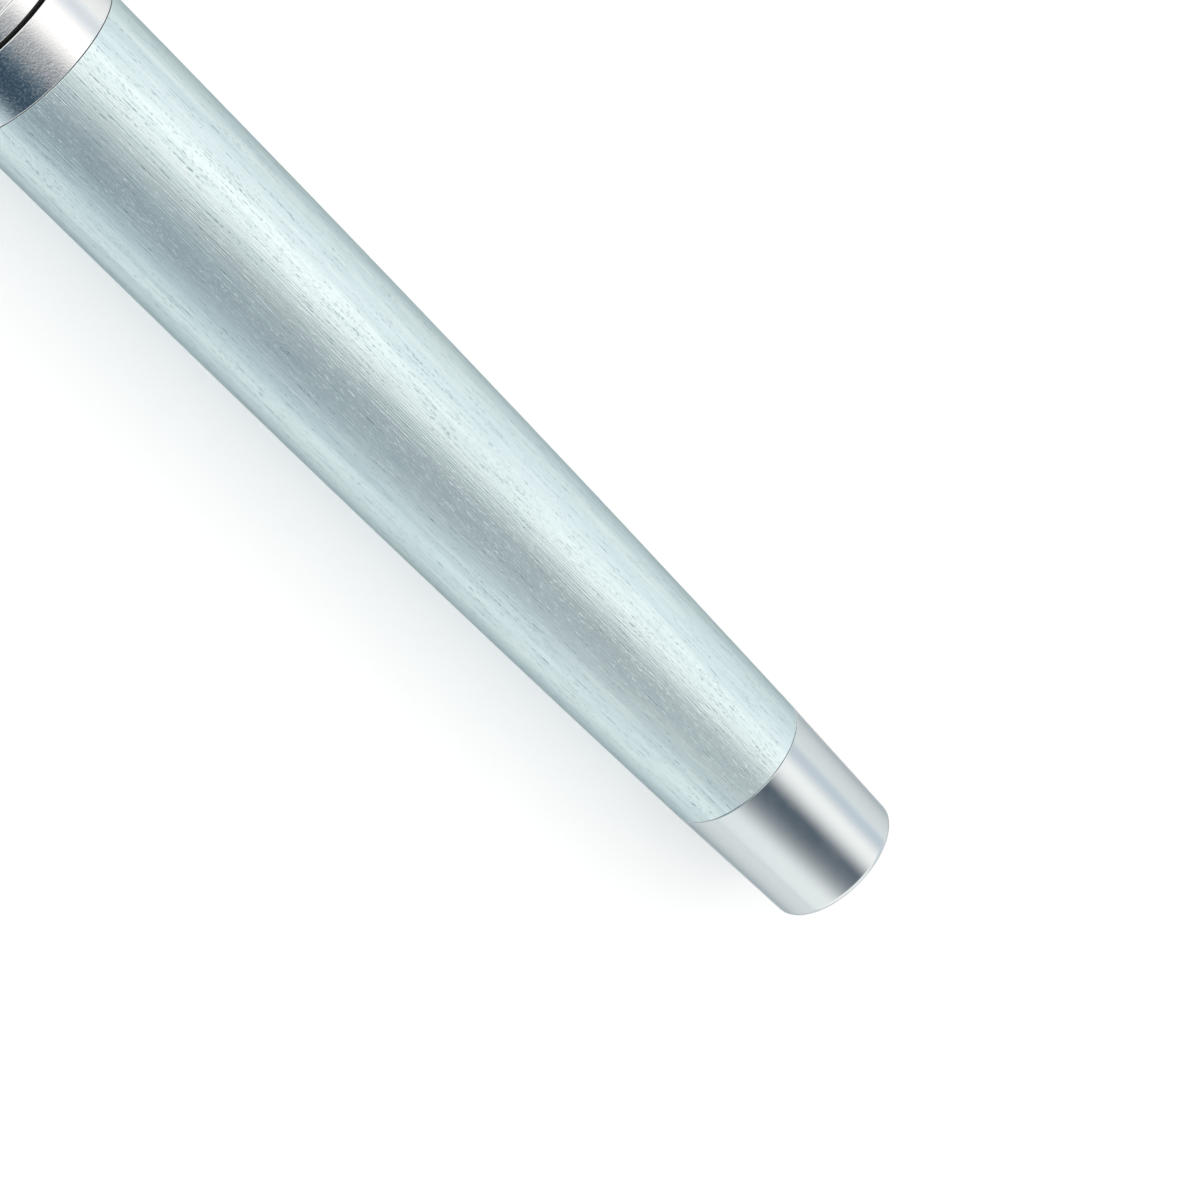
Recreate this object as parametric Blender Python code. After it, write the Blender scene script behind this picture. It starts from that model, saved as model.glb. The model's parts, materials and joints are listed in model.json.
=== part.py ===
"""Capped technical pen with a satin metal body, modelled as its separate pieces.

The pen's axis lies along X, with the tail at +X and the cap at -X.
Every place along the pen is measured from the front end of the barrel.
"""

import math

import bmesh
import bpy
from mathutils import Vector

MM = 0.001

# Clearances
SEAM = 0.08 * MM            # hairline between outer pieces that butt together
FIT = 0.25 * MM             # radial gap between pieces that are pressed or slid together
PRESS_FIT = 0.2 * MM        # radial gap round the steel sleeve, which is held by its front end

# Barrel, its front ring and its end cap
BODY_RADIUS = 6.0 * MM      # the ring, the cap and the barrel's front end
BARREL_LENGTH = 65.94 * MM
BARREL_TAPER = 0.88 * MM    # radius that the barrel loses towards its tail
TAPER_POWER = 2.1           # above 1, the taper starts gently
BARREL_WALL = 0.5 * MM      # at the tail, where it is thinnest
RING_LENGTH = 3.53 * MM
RING_WALL = 0.9 * MM
BUSH_WALL = 0.6 * MM
END_CAP_LENGTH = 10.37 * MM
END_CAP_TAPER = 0.37 * MM
END_CAP_ROUND = 0.5 * MM
END_CAP_WALL = 1.0 * MM
SPIGOT_LENGTH = 7.0 * MM

# Grip section
THREAD_LENGTH = 6.5 * MM    # how far the section's thread reaches into the barrel
SECTION_WALL = 0.6 * MM
SNAP_LENGTH = 8.0 * MM      # the shoulder that the cap grips
GRIP_STEP = 0.35 * MM
GRIP_NARROWING = 0.4 * MM
SEAL_WIDTH = 0.36 * MM
SEAL_STANDING = 0.45 * MM   # how far the seal stays below the body's surface

# Cap
CAP_GAP = 0.51 * MM         # dark gap between the barrel's ring and the cap
CAP_LENGTH = 59.9 * MM
CAP_WALL = 0.5 * MM
LIP_LENGTH = 3.5 * MM
LIP_GROOVE_AT = 1.2 * MM
LIP_GROOVE_WIDTH = 0.3 * MM
LIP_GROOVE_DEPTH = 0.15 * MM
FINIAL_LENGTH = 7.0 * MM
FINIAL_TAPER = 0.35 * MM
FINIAL_ROUND = 0.6 * MM
SLEEVE_WALL = 0.4 * MM
SLEEVE_END_WALL = 1.2 * MM
CAP_SEAL_LENGTH = 2.0 * MM
SCREW_RADIUS = 1.0 * MM
SCREW_HEAD_RADIUS = 1.7 * MM
SCREW_HEAD_LENGTH = 1.0 * MM
SCREW_REACH = 4.5 * MM      # how far the screw goes into the finial

# Clip
CLIP_RING_THICKNESS = 0.8 * MM
CLIP_THICKNESS = 0.8 * MM
CLIP_ROOT_WIDTH = 3.6 * MM
CLIP_TIP_WIDTH = 2.6 * MM
CLIP_LENGTH = 38.5 * MM
CLIP_EDGE = 0.2 * MM
CLIP_ROOT_RISE = 1.15 * MM  # gap under the clip at its root
# share of the clip's length, gap between its underside and the cap
CLIP_SHAPE = (
    (0.0, CLIP_ROOT_RISE),
    (0.15, 1.5 * MM),
    (0.5, 1.2 * MM),
    (0.8, 0.6 * MM),
    (0.92, 0.15 * MM),
    (1.0, 0.75 * MM),
)

# Drawing point
TIP_SPACE = 3.0 * MM        # room in front of the point inside the closed cap
TUBE_RADIUS = 0.35 * MM     # draws a 0.7 mm line
TUBE_BORE = 0.2 * MM
WIRE_RADIUS = 0.1 * MM
WIRE_STANDING = 0.1 * MM
TUBE_LENGTH = 7.85 * MM
POINT_SLEEVE_RADIUS = 0.8 * MM
POINT_SLEEVE_BORE = 0.5 * MM
POINT_SLEEVE_SETBACK = 3.0 * MM
POINT_SLEEVE_SEAT = 2.0 * MM  # how deep the sleeve sits in the cone
CONE_SETBACK = 6.0 * MM     # from the tip to the front of the plastic cone
CONE_LENGTH = 6.0 * MM
CONE_FRONT_RADIUS = 1.5 * MM
COLLAR_LENGTH = 2.0 * MM
COLOUR_RING_LENGTH = 1.2 * MM
SHANK_STEP = 0.7 * MM       # the shank is this much slimmer than the section's bore
SHANK_WALL = 0.8 * MM
SHANK_LENGTH = 20.0 * MM
CHAMBER_FRONT = 3.9 * MM    # from the cone's front to the weight's chamber
FEED_RADIUS = 0.6 * MM
PLUG_LENGTH = 4.0 * MM
NIPPLE_LENGTH = 5.0 * MM
PLUG_FLANGE = 0.6 * MM
WEIGHT_TRAVEL = 1.8 * MM
WEIGHT_SLACK = 0.3 * MM
WIRE_HOLD = 3.0 * MM        # how deep the wire sits in the weight

# Ink supply
CARTRIDGE_WALL = 0.4 * MM
CARTRIDGE_SPACE = 12.0 * MM  # free barrel behind the cartridge
SPIRAL_LENGTH = 14.0 * MM
SPIRAL_ROOT = 0.25 * MM
SPIRAL_TURNS = 7

# Facets round the pen
OUTER_SIDES = 32
INNER_SIDES = 24
FINE_SIDES = 12

# Places along the pen
RING_FRONT = -(SEAM + RING_LENGTH)
END_CAP_START = BARREL_LENGTH + SEAM
TAIL = END_CAP_START + END_CAP_LENGTH
SPIGOT_FRONT = END_CAP_START - SPIGOT_LENGTH
LIP = RING_FRONT - CAP_GAP
LIP_END = LIP - LIP_LENGTH
CAP_TOP = LIP - CAP_LENGTH
FINIAL_BASE = CAP_TOP + FINIAL_LENGTH
CLIP_RING_TOP = FINIAL_BASE + SEAM
CLIP_RING_UNDER = CLIP_RING_TOP + CLIP_RING_THICKNESS
CAP_TUBE_TOP = CLIP_RING_UNDER + SEAM
SLEEVE_TOP = CAP_TUBE_TOP + FIT
CHAMBER_END = SLEEVE_TOP + SLEEVE_END_WALL
SCREW_HEAD_FRONT = CHAMBER_END + FIT + SCREW_HEAD_LENGTH
TIP = SCREW_HEAD_FRONT + TIP_SPACE
CONE_TIP = TIP + CONE_SETBACK
COLLAR_FRONT = CONE_TIP + CONE_LENGTH
COLLAR_BACK = COLLAR_FRONT + COLLAR_LENGTH
COLOUR_RING_BACK = COLLAR_BACK + 0.5 * FIT + COLOUR_RING_LENGTH
SECTION_FRONT = COLOUR_RING_BACK + 0.5 * FIT
SHANK_END = SECTION_FRONT + SHANK_LENGTH
PLUG_FRONT = SHANK_END - PLUG_LENGTH
NIPPLE_START = SHANK_END + FIT + PLUG_FLANGE
NIPPLE_END = NIPPLE_START + NIPPLE_LENGTH
CHAMBER_START = CONE_TIP + CHAMBER_FRONT
WEIGHT_END = PLUG_FRONT - WEIGHT_SLACK - WEIGHT_TRAVEL
WEIGHT_FRONT = CHAMBER_START + 2.0 * FIT
CARTRIDGE_FRONT = NIPPLE_START + FIT
CARTRIDGE_END = SPIGOT_FRONT - CARTRIDGE_SPACE
SPIRAL_START = THREAD_LENGTH + 2.0 * FIT

# Radii, from the outside in
RING_BORE = BODY_RADIUS - RING_WALL
BUSH_RADIUS = RING_BORE - FIT
BUSH_BORE = BUSH_RADIUS - BUSH_WALL
THREAD_RADIUS = BUSH_BORE - FIT
SECTION_BORE = THREAD_RADIUS - SECTION_WALL
CARTRIDGE_RADIUS = SECTION_BORE - FIT
SHANK_RADIUS = SECTION_BORE - SHANK_STEP
CHAMBER_RADIUS = SHANK_RADIUS - SHANK_WALL
NIPPLE_RADIUS = CHAMBER_RADIUS
TAIL_RADIUS = BODY_RADIUS - BARREL_TAPER
BARREL_BORE = TAIL_RADIUS - BARREL_WALL
SPIGOT_RADIUS = BARREL_BORE - FIT
CAP_BORE = BODY_RADIUS - CAP_WALL
SLEEVE_RADIUS = CAP_BORE - FIT
SLEEVE_BORE = SLEEVE_RADIUS - SLEEVE_WALL
SNAP_RADIUS = SLEEVE_BORE - FIT
GRIP_RADIUS = SNAP_RADIUS - GRIP_STEP
GRIP_FRONT_RADIUS = GRIP_RADIUS - GRIP_NARROWING
COLLAR_RADIUS = GRIP_FRONT_RADIUS - 0.5 * FIT
CONE_BACK_RADIUS = COLLAR_RADIUS - 2.0 * FIT
COLLAR_BORE = COLLAR_RADIUS + 2.0 * FIT
TIP_BORE = SCREW_HEAD_RADIUS + 2.0 * FIT
SHANK_BORE = SHANK_RADIUS + FIT

# The clip turned so that its edge just touches the surface that the pen lies on
REST_RADIUS = BODY_RADIUS * math.cos(math.pi / OUTER_SIDES)
CLIP_REACH = BODY_RADIUS + max(gap for share, gap in CLIP_SHAPE) + CLIP_THICKNESS
CLIP_HALF_WIDTH = 0.5 * CLIP_ROOT_WIDTH
CLIP_TURN = (
    math.pi
    - math.acos(REST_RADIUS / math.hypot(CLIP_REACH, CLIP_HALF_WIDTH))
    - math.atan2(CLIP_HALF_WIDTH, CLIP_REACH)
)


def clear_scene():
    for scene_object in list(bpy.data.objects):
        bpy.data.objects.remove(scene_object, do_unlink=True)


def make_material(name, colour, roughness, metallic):
    material = bpy.data.materials.new(name)
    material.use_nodes = True
    shader = material.node_tree.nodes["Principled BSDF"]
    shader.inputs["Base Color"].default_value = (*colour, 1.0)
    shader.inputs["Roughness"].default_value = roughness
    shader.inputs["Metallic"].default_value = metallic
    material.diffuse_color = (*colour, 1.0)
    return material


def add_object(name, shape, parent, material, location=(0.0, 0.0, 0.0)):
    """Turns a bmesh into an object, with smooth round sides and sharp edges."""
    bmesh.ops.recalc_face_normals(shape, faces=shape.faces)
    mesh = bpy.data.meshes.new(name)
    shape.to_mesh(mesh)
    shape.free()
    mesh.materials.append(material)
    mesh.shade_smooth()
    mesh.set_sharp_from_angle(angle=math.radians(30.0))
    piece = bpy.data.objects.new(name, mesh)
    piece.parent = parent
    piece.location = location
    bpy.context.scene.collection.objects.link(piece)
    return piece


def turned(outline, sides, closed=True):
    """Spins an outline of (place, radius) points round the pen's axis.

    A closed outline makes a ring. An open one starts and ends on the axis.
    """
    shape = bmesh.new()
    start = math.radians(-90.0) + math.pi / sides
    points = []
    for place, radius in outline:
        points.append(shape.verts.new((place, radius * math.cos(start), radius * math.sin(start))))
    edges = [shape.edges.new(pair) for pair in zip(points, points[1:])]
    if closed:
        edges.append(shape.edges.new((points[-1], points[0])))
    bmesh.ops.spin(
        shape, geom=points + edges, cent=(0.0, 0.0, 0.0), axis=(1.0, 0.0, 0.0),
        angle=2.0 * math.pi, steps=sides, use_merge=True,
    )
    bmesh.ops.remove_doubles(shape, verts=shape.verts, dist=0.0001 * MM)
    return shape


def tube(front, back, radius, bore, chamfer=0.0):
    """Outline of a plain tube, with its outer edges chamfered if asked."""
    if chamfer:
        outer = [(front, radius - chamfer), (front + chamfer, radius),
                 (back - chamfer, radius), (back, radius - chamfer)]
    else:
        outer = [(front, radius), (back, radius)]
    return outer + [(back, bore), (front, bore)]


def corner_arc(centre, size, start, end, steps=4):
    """Points of a quarter round, with angles in degrees."""
    points = []
    for step in range(steps + 1):
        angle = math.radians(start + (end - start) * step / steps)
        points.append((centre[0] + size * math.cos(angle), centre[1] + size * math.sin(angle)))
    return points


def barrel_radius(place):
    return BODY_RADIUS - BARREL_TAPER * (place / BARREL_LENGTH) ** TAPER_POWER


def barrel_tube(parent):
    steps = 8
    outline = []
    for step in range(steps + 1):
        place = BARREL_LENGTH * step / steps
        outline.append((place, barrel_radius(place)))
    seat = THREAD_LENGTH + FIT
    outline += [(BARREL_LENGTH, BARREL_BORE), (seat, BARREL_BORE), (seat, RING_BORE), (0.0, RING_BORE)]
    finish = make_material("satin_metal", (0.62, 0.70, 0.71), 0.38, 1.0)
    return add_object("barrel_tube", turned(outline, OUTER_SIDES), parent, finish)


def barrel_ring(parent):
    outline = tube(RING_FRONT, -SEAM, BODY_RADIUS, RING_BORE, chamfer=SEAM)
    finish = make_material("polished_ring", (0.80, 0.83, 0.84), 0.08, 1.0)
    return add_object("barrel_ring", turned(outline, OUTER_SIDES), parent, finish)


def barrel_bush(parent):
    outline = tube(RING_FRONT + FIT, THREAD_LENGTH, BUSH_RADIUS, BUSH_BORE)
    finish = make_material("brass_bush", (0.72, 0.55, 0.28), 0.35, 1.0)
    return add_object("barrel_bush", turned(outline, OUTER_SIDES), parent, finish)


def end_cap(parent):
    """Turned end cap, bored from the front, with a spigot that goes into the barrel."""
    end_radius = TAIL_RADIUS - END_CAP_TAPER
    rim = (TAIL - END_CAP_ROUND, end_radius - END_CAP_ROUND)
    bore = SPIGOT_RADIUS - END_CAP_WALL
    bore_end = TAIL - 2.0 * END_CAP_WALL
    outline = [(bore_end, 0.0), (bore_end, bore), (SPIGOT_FRONT, bore), (SPIGOT_FRONT, SPIGOT_RADIUS)]
    outline += [(END_CAP_START, SPIGOT_RADIUS), (END_CAP_START, TAIL_RADIUS - SEAM)]
    outline += [(END_CAP_START + SEAM, TAIL_RADIUS)]
    outline += corner_arc(rim, END_CAP_ROUND, 90.0, 0.0)
    outline += [(TAIL, 0.0)]
    finish = make_material("polished_end_cap", (0.80, 0.83, 0.84), 0.08, 1.0)
    return add_object("end_cap", turned(outline, OUTER_SIDES, closed=False), parent, finish)


def grip_section(parent):
    """Black grip section: thread stub, snap shoulder for the cap, and a waisted grip."""
    snap_end = LIP - SNAP_LENGTH
    grip_start = snap_end - GRIP_STEP
    steps = 4
    outline = [(THREAD_LENGTH, THREAD_RADIUS), (LIP, THREAD_RADIUS), (LIP, SNAP_RADIUS)]
    outline += [(snap_end, SNAP_RADIUS)]
    for step in range(steps + 1):
        share = step / steps
        place = grip_start + (SECTION_FRONT + FIT - grip_start) * share
        outline.append((place, GRIP_RADIUS - GRIP_NARROWING * math.sin(0.5 * math.pi * share)))
    outline += [(SECTION_FRONT, GRIP_FRONT_RADIUS - FIT), (SECTION_FRONT, SHANK_BORE)]
    outline += [(SHANK_END, SHANK_BORE), (SHANK_END, SECTION_BORE), (THREAD_LENGTH, SECTION_BORE)]
    finish = make_material("black_grip_plastic", (0.02, 0.02, 0.022), 0.45, 0.0)
    return add_object("grip_section", turned(outline, OUTER_SIDES), parent, finish)


def section_seal(parent):
    front = LIP + SEAM
    outline = tube(front, front + SEAL_WIDTH, BODY_RADIUS - SEAL_STANDING, THREAD_RADIUS + FIT)
    finish = make_material("black_rubber_seal", (0.015, 0.015, 0.015), 0.7, 0.0)
    return add_object("section_seal", turned(outline, OUTER_SIDES), parent, finish)


def colour_ring(parent):
    front = COLOUR_RING_BACK - COLOUR_RING_LENGTH
    outline = tube(front, COLOUR_RING_BACK, COLLAR_RADIUS, SHANK_BORE)
    finish = make_material("blue_colour_ring", (0.02, 0.13, 0.45), 0.35, 0.0)
    return add_object("colour_ring", turned(outline, INNER_SIDES), parent, finish)


def nib_body(parent):
    """Plastic body of the drawing point, with the chamber in which the weight slides."""
    sleeve_seat = POINT_SLEEVE_RADIUS + PRESS_FIT
    seat_end = CONE_TIP + POINT_SLEEVE_SEAT + FIT
    outline = [(CONE_TIP, sleeve_seat), (CONE_TIP, CONE_FRONT_RADIUS), (COLLAR_FRONT, CONE_BACK_RADIUS)]
    outline += [(COLLAR_FRONT, COLLAR_RADIUS), (COLLAR_BACK, COLLAR_RADIUS), (COLLAR_BACK, SHANK_RADIUS)]
    outline += [(SHANK_END, SHANK_RADIUS), (SHANK_END, CHAMBER_RADIUS), (CHAMBER_START, CHAMBER_RADIUS)]
    outline += [(CHAMBER_START, FEED_RADIUS), (seat_end, FEED_RADIUS), (seat_end, sleeve_seat)]
    finish = make_material("grey_nib_plastic", (0.28, 0.29, 0.30), 0.35, 0.0)
    return add_object("nib_body", turned(outline, INNER_SIDES), parent, finish)


def point_sleeve(parent):
    front = TIP + POINT_SLEEVE_SETBACK
    back = CONE_TIP + POINT_SLEEVE_SEAT
    outline = tube(front, back, POINT_SLEEVE_RADIUS, POINT_SLEEVE_BORE, chamfer=FIT)
    finish = make_material("steel_point_sleeve", (0.70, 0.70, 0.70), 0.2, 1.0)
    return add_object("point_sleeve", turned(outline, FINE_SIDES), parent, finish)


def point_tube(parent):
    outline = tube(TIP, TIP + TUBE_LENGTH, TUBE_RADIUS, TUBE_BORE)
    finish = make_material("steel_point_tube", (0.70, 0.70, 0.70), 0.2, 1.0)
    return add_object("point_tube", turned(outline, FINE_SIDES), parent, finish)


def nib_plug(parent):
    """Screw plug that keeps the weight in, with the nipple that the cartridge goes on."""
    flange_start = SHANK_END + FIT
    outline = [(PLUG_FRONT, CHAMBER_RADIUS - FIT), (flange_start, CHAMBER_RADIUS - FIT)]
    outline += [(flange_start, SHANK_RADIUS), (NIPPLE_START, SHANK_RADIUS)]
    outline += [(NIPPLE_START, NIPPLE_RADIUS), (NIPPLE_END - FIT, NIPPLE_RADIUS)]
    outline += [(NIPPLE_END, NIPPLE_RADIUS - FIT), (NIPPLE_END, FEED_RADIUS), (PLUG_FRONT, FEED_RADIUS)]
    finish = make_material("white_plug_plastic", (0.80, 0.80, 0.78), 0.4, 0.0)
    return add_object("nib_plug", turned(outline, INNER_SIDES), parent, finish)


def drop_weight(parent):
    radius = CHAMBER_RADIUS - FIT
    hole = WIRE_RADIUS + FIT
    hole_end = WEIGHT_FRONT + WIRE_HOLD
    outline = [(hole_end, 0.0), (hole_end, hole), (WEIGHT_FRONT, hole), (WEIGHT_FRONT, radius - FIT)]
    outline += [(WEIGHT_FRONT + FIT, radius), (WEIGHT_END, radius), (WEIGHT_END, 0.0)]
    finish = make_material("steel_weight", (0.55, 0.55, 0.56), 0.3, 1.0)
    return add_object("drop_weight", turned(outline, INNER_SIDES, closed=False), parent, finish)


def cleaning_wire(parent):
    front = TIP - WIRE_STANDING
    back = WEIGHT_FRONT + WIRE_HOLD - FIT
    outline = [(front, 0.0), (front, WIRE_RADIUS), (back, WIRE_RADIUS), (back, 0.0)]
    finish = make_material("steel_wire", (0.75, 0.75, 0.75), 0.2, 1.0)
    return add_object("cleaning_wire", turned(outline, FINE_SIDES, closed=False), parent, finish)


def ink_cartridge(parent):
    """Thin closed tube whose narrow neck goes over the plug's nipple."""
    neck = NIPPLE_RADIUS + FIT
    neck_end = NIPPLE_END + FIT
    inside = CARTRIDGE_RADIUS - CARTRIDGE_WALL
    inner_end = CARTRIDGE_END - 2.0 * CARTRIDGE_WALL
    outline = [(inner_end, 0.0), (inner_end, inside), (neck_end, inside), (neck_end, neck)]
    outline += [(CARTRIDGE_FRONT, neck), (CARTRIDGE_FRONT, CARTRIDGE_RADIUS)]
    outline += [(CARTRIDGE_END - CARTRIDGE_WALL, CARTRIDGE_RADIUS)]
    outline += [(CARTRIDGE_END, CARTRIDGE_RADIUS - CARTRIDGE_WALL), (CARTRIDGE_END, 0.0)]
    finish = make_material("clear_cartridge_plastic", (0.75, 0.78, 0.80), 0.25, 0.0)
    return add_object("ink_cartridge", turned(outline, INNER_SIDES, closed=False), parent, finish)


def breather_spiral(parent):
    """Capillary sleeve round the cartridge, with one fin for each turn of its channel."""
    bore = CARTRIDGE_RADIUS + FIT
    root = bore + SPIRAL_ROOT
    pitch = SPIRAL_LENGTH / SPIRAL_TURNS
    outline = []
    for turn in range(SPIRAL_TURNS):
        front = SPIRAL_START + pitch * turn
        fin_end = front + 0.5 * pitch
        outline += [(front, THREAD_RADIUS), (fin_end, THREAD_RADIUS)]
        outline += [(fin_end, root), (front + pitch, root)]
    back = SPIRAL_START + SPIRAL_LENGTH
    outline += [(back, bore), (SPIRAL_START, bore)]
    finish = make_material("dark_spiral_plastic", (0.05, 0.05, 0.055), 0.4, 0.0)
    return add_object("breather_spiral", turned(outline, INNER_SIDES), parent, finish)


def cap_tube(parent):
    outline = tube(CAP_TUBE_TOP, LIP_END - SEAM, BODY_RADIUS, CAP_BORE)
    finish = make_material("satin_cap_metal", (0.62, 0.70, 0.71), 0.38, 1.0)
    return add_object("cap_tube", turned(outline, OUTER_SIDES), parent, finish)


def cap_lip_ring(parent):
    """Polished ring at the cap's mouth, with one fine turned groove."""
    groove_back = LIP - LIP_GROOVE_AT
    groove_front = groove_back - LIP_GROOVE_WIDTH
    groove_floor = BODY_RADIUS - LIP_GROOVE_DEPTH
    outline = [(LIP_END, CAP_BORE), (LIP_END, BODY_RADIUS), (groove_front, BODY_RADIUS)]
    outline += [(groove_front, groove_floor), (groove_back, groove_floor), (groove_back, BODY_RADIUS)]
    outline += [(LIP - SEAM, BODY_RADIUS), (LIP, BODY_RADIUS - SEAM), (LIP, CAP_BORE)]
    finish = make_material("polished_lip_ring", (0.80, 0.83, 0.84), 0.08, 1.0)
    return add_object("cap_lip_ring", turned(outline, OUTER_SIDES), parent, finish)


def cap_inner_sleeve(parent):
    """Plastic inner cap: it grips the section, and closes the air in round the point."""
    mouth = LIP - FIT
    collar_end = CONE_TIP - FIT
    step = COLLAR_BACK + 4.0 * FIT
    hole = SCREW_RADIUS + FIT
    outline = [(mouth, SLEEVE_BORE), (mouth, SLEEVE_RADIUS), (SLEEVE_TOP, SLEEVE_RADIUS)]
    outline += [(SLEEVE_TOP, hole), (CHAMBER_END, hole), (CHAMBER_END, TIP_BORE)]
    outline += [(collar_end, TIP_BORE), (collar_end, COLLAR_BORE), (step, COLLAR_BORE)]
    outline += [(step, SLEEVE_BORE)]
    finish = make_material("white_sleeve_plastic", (0.78, 0.79, 0.80), 0.4, 0.0)
    return add_object("cap_inner_sleeve", turned(outline, OUTER_SIDES), parent, finish)


def cap_seal(parent):
    back = COLLAR_FRONT - 0.5 * TIP_SPACE - 2.0 * FIT
    front = back - CAP_SEAL_LENGTH
    outline = tube(front, back, COLLAR_BORE - FIT, CONE_BACK_RADIUS + FIT)
    finish = make_material("grey_seal_rubber", (0.12, 0.12, 0.13), 0.7, 0.0)
    return add_object("cap_seal", turned(outline, INNER_SIDES), parent, finish)


def cap_finial(parent):
    """Polished top of the cap, tapped from below for the screw."""
    top_radius = BODY_RADIUS - FINIAL_TAPER
    rim = (CAP_TOP + FINIAL_ROUND, top_radius - FINIAL_ROUND)
    hole = SCREW_RADIUS + FIT
    hole_end = FINIAL_BASE - SCREW_REACH - FIT
    outline = [(hole_end, 0.0), (hole_end, hole), (FINIAL_BASE, hole), (FINIAL_BASE, BODY_RADIUS - SEAM)]
    outline += [(FINIAL_BASE - SEAM, BODY_RADIUS)]
    outline += corner_arc(rim, FINIAL_ROUND, 90.0, 180.0)
    outline += [(CAP_TOP, 0.0)]
    finish = make_material("polished_finial", (0.80, 0.83, 0.84), 0.08, 1.0)
    return add_object("cap_finial", turned(outline, OUTER_SIDES, closed=False), parent, finish)


def cap_screw(parent):
    """Screw that holds the sleeve, the clip's ring and the finial together."""
    head_back = SCREW_HEAD_FRONT - SCREW_HEAD_LENGTH
    end = FINIAL_BASE - SCREW_REACH
    socket = 0.5 * SCREW_HEAD_RADIUS
    socket_end = SCREW_HEAD_FRONT - 0.5 * SCREW_HEAD_LENGTH
    outline = [(end, 0.0), (end, SCREW_RADIUS - FIT), (end + FIT, SCREW_RADIUS), (head_back, SCREW_RADIUS)]
    outline += [(head_back, SCREW_HEAD_RADIUS), (SCREW_HEAD_FRONT, SCREW_HEAD_RADIUS)]
    outline += [(SCREW_HEAD_FRONT, socket), (socket_end, socket), (socket_end, 0.0)]
    finish = make_material("steel_screw", (0.60, 0.60, 0.60), 0.3, 1.0)
    return add_object("cap_screw", turned(outline, INNER_SIDES, closed=False), parent, finish)


def extruded(outline, half_width):
    """Extrudes a side outline of (place, height) points to both sides of the pen's middle plane."""
    shape = bmesh.new()
    points = [shape.verts.new((place, -half_width, height)) for place, height in outline]
    face = shape.faces.new(points)
    grown = bmesh.ops.extrude_face_region(shape, geom=[face])
    moved = [item for item in grown["geom"] if isinstance(item, bmesh.types.BMVert)]
    bmesh.ops.translate(shape, verts=moved, vec=(0.0, 2.0 * half_width, 0.0))
    return shape


def clip_ring(parent):
    """Clamped ring of the clip, with the tongue that carries the arm outside the cap."""
    outline = tube(CLIP_RING_TOP, CLIP_RING_UNDER, BODY_RADIUS - FIT, SCREW_RADIUS + FIT)
    finish = make_material("polished_clip_ring", (0.80, 0.83, 0.84), 0.1, 1.0)
    ring = add_object("clip_ring", turned(outline, OUTER_SIDES), parent, finish)
    tongue_top = BODY_RADIUS + CLIP_ROOT_RISE + CLIP_THICKNESS
    tongue_foot = BODY_RADIUS - 4.0 * FIT
    sides = [(CLIP_RING_TOP, tongue_foot), (CLIP_RING_UNDER, tongue_foot),
             (CLIP_RING_UNDER, tongue_top), (CLIP_RING_TOP + CLIP_EDGE, tongue_top),
             (CLIP_RING_TOP, tongue_top - CLIP_EDGE)]
    tongue = add_object("clip_tongue", extruded(sides, CLIP_HALF_WIDTH), parent, finish)
    tongue.hide_render = True
    tongue.display_type = "WIRE"
    join = ring.modifiers.new("tongue", "BOOLEAN")
    join.operation = "UNION"
    join.solver = "EXACT"
    join.object = tongue
    return ring


def clip_arm(parent):
    """Sprung arm of the clip, which narrows to its tip and touches the cap near its end."""
    start = CLIP_RING_UNDER + FIT
    hinge = (start + FIT, BODY_RADIUS + CLIP_ROOT_RISE + 0.5 * CLIP_THICKNESS)
    under = []
    for share, gap in CLIP_SHAPE:
        under.append((start + CLIP_LENGTH * share - hinge[0], BODY_RADIUS + gap - hinge[1]))
    over = [(place, height + CLIP_THICKNESS) for place, height in reversed(under)]
    shape = extruded(under + over, CLIP_HALF_WIDTH)
    narrowing = 1.0 - CLIP_TIP_WIDTH / CLIP_ROOT_WIDTH
    for point in shape.verts:
        point.co.y *= 1.0 - narrowing * (point.co.x + FIT) / CLIP_LENGTH
    finish = make_material("polished_clip", (0.80, 0.83, 0.84), 0.1, 1.0)
    arm = add_object("clip_arm", shape, parent, finish, location=(hinge[0], 0.0, hinge[1]))
    edge = arm.modifiers.new("edge", "BEVEL")
    edge.width = CLIP_EDGE
    edge.segments = 1
    edge.limit_method = "ANGLE"
    edge.angle_limit = math.radians(60.0)
    return arm


def add_empty(name, parent=None, location=(0.0, 0.0, 0.0)):
    empty = bpy.data.objects.new(name, None)
    empty.parent = parent
    empty.location = location
    bpy.context.scene.collection.objects.link(empty)
    return empty


def lay_on_origin(frame, pieces):
    """Moves the whole pen so that the middle of its underside is at the origin."""
    bpy.context.view_layer.update()
    graph = bpy.context.evaluated_depsgraph_get()
    corners = []
    for piece in pieces:
        solid = piece.evaluated_get(graph)
        corners += [solid.matrix_world @ vertex.co for vertex in solid.data.vertices]
    low = Vector([min(corner[axis] for corner in corners) for axis in range(3)])
    high = Vector([max(corner[axis] for corner in corners) for axis in range(3)])
    middle = 0.5 * (low + high)
    frame.location = (-middle.x, -middle.y, -low.z)
    bpy.context.view_layer.update()


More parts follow.
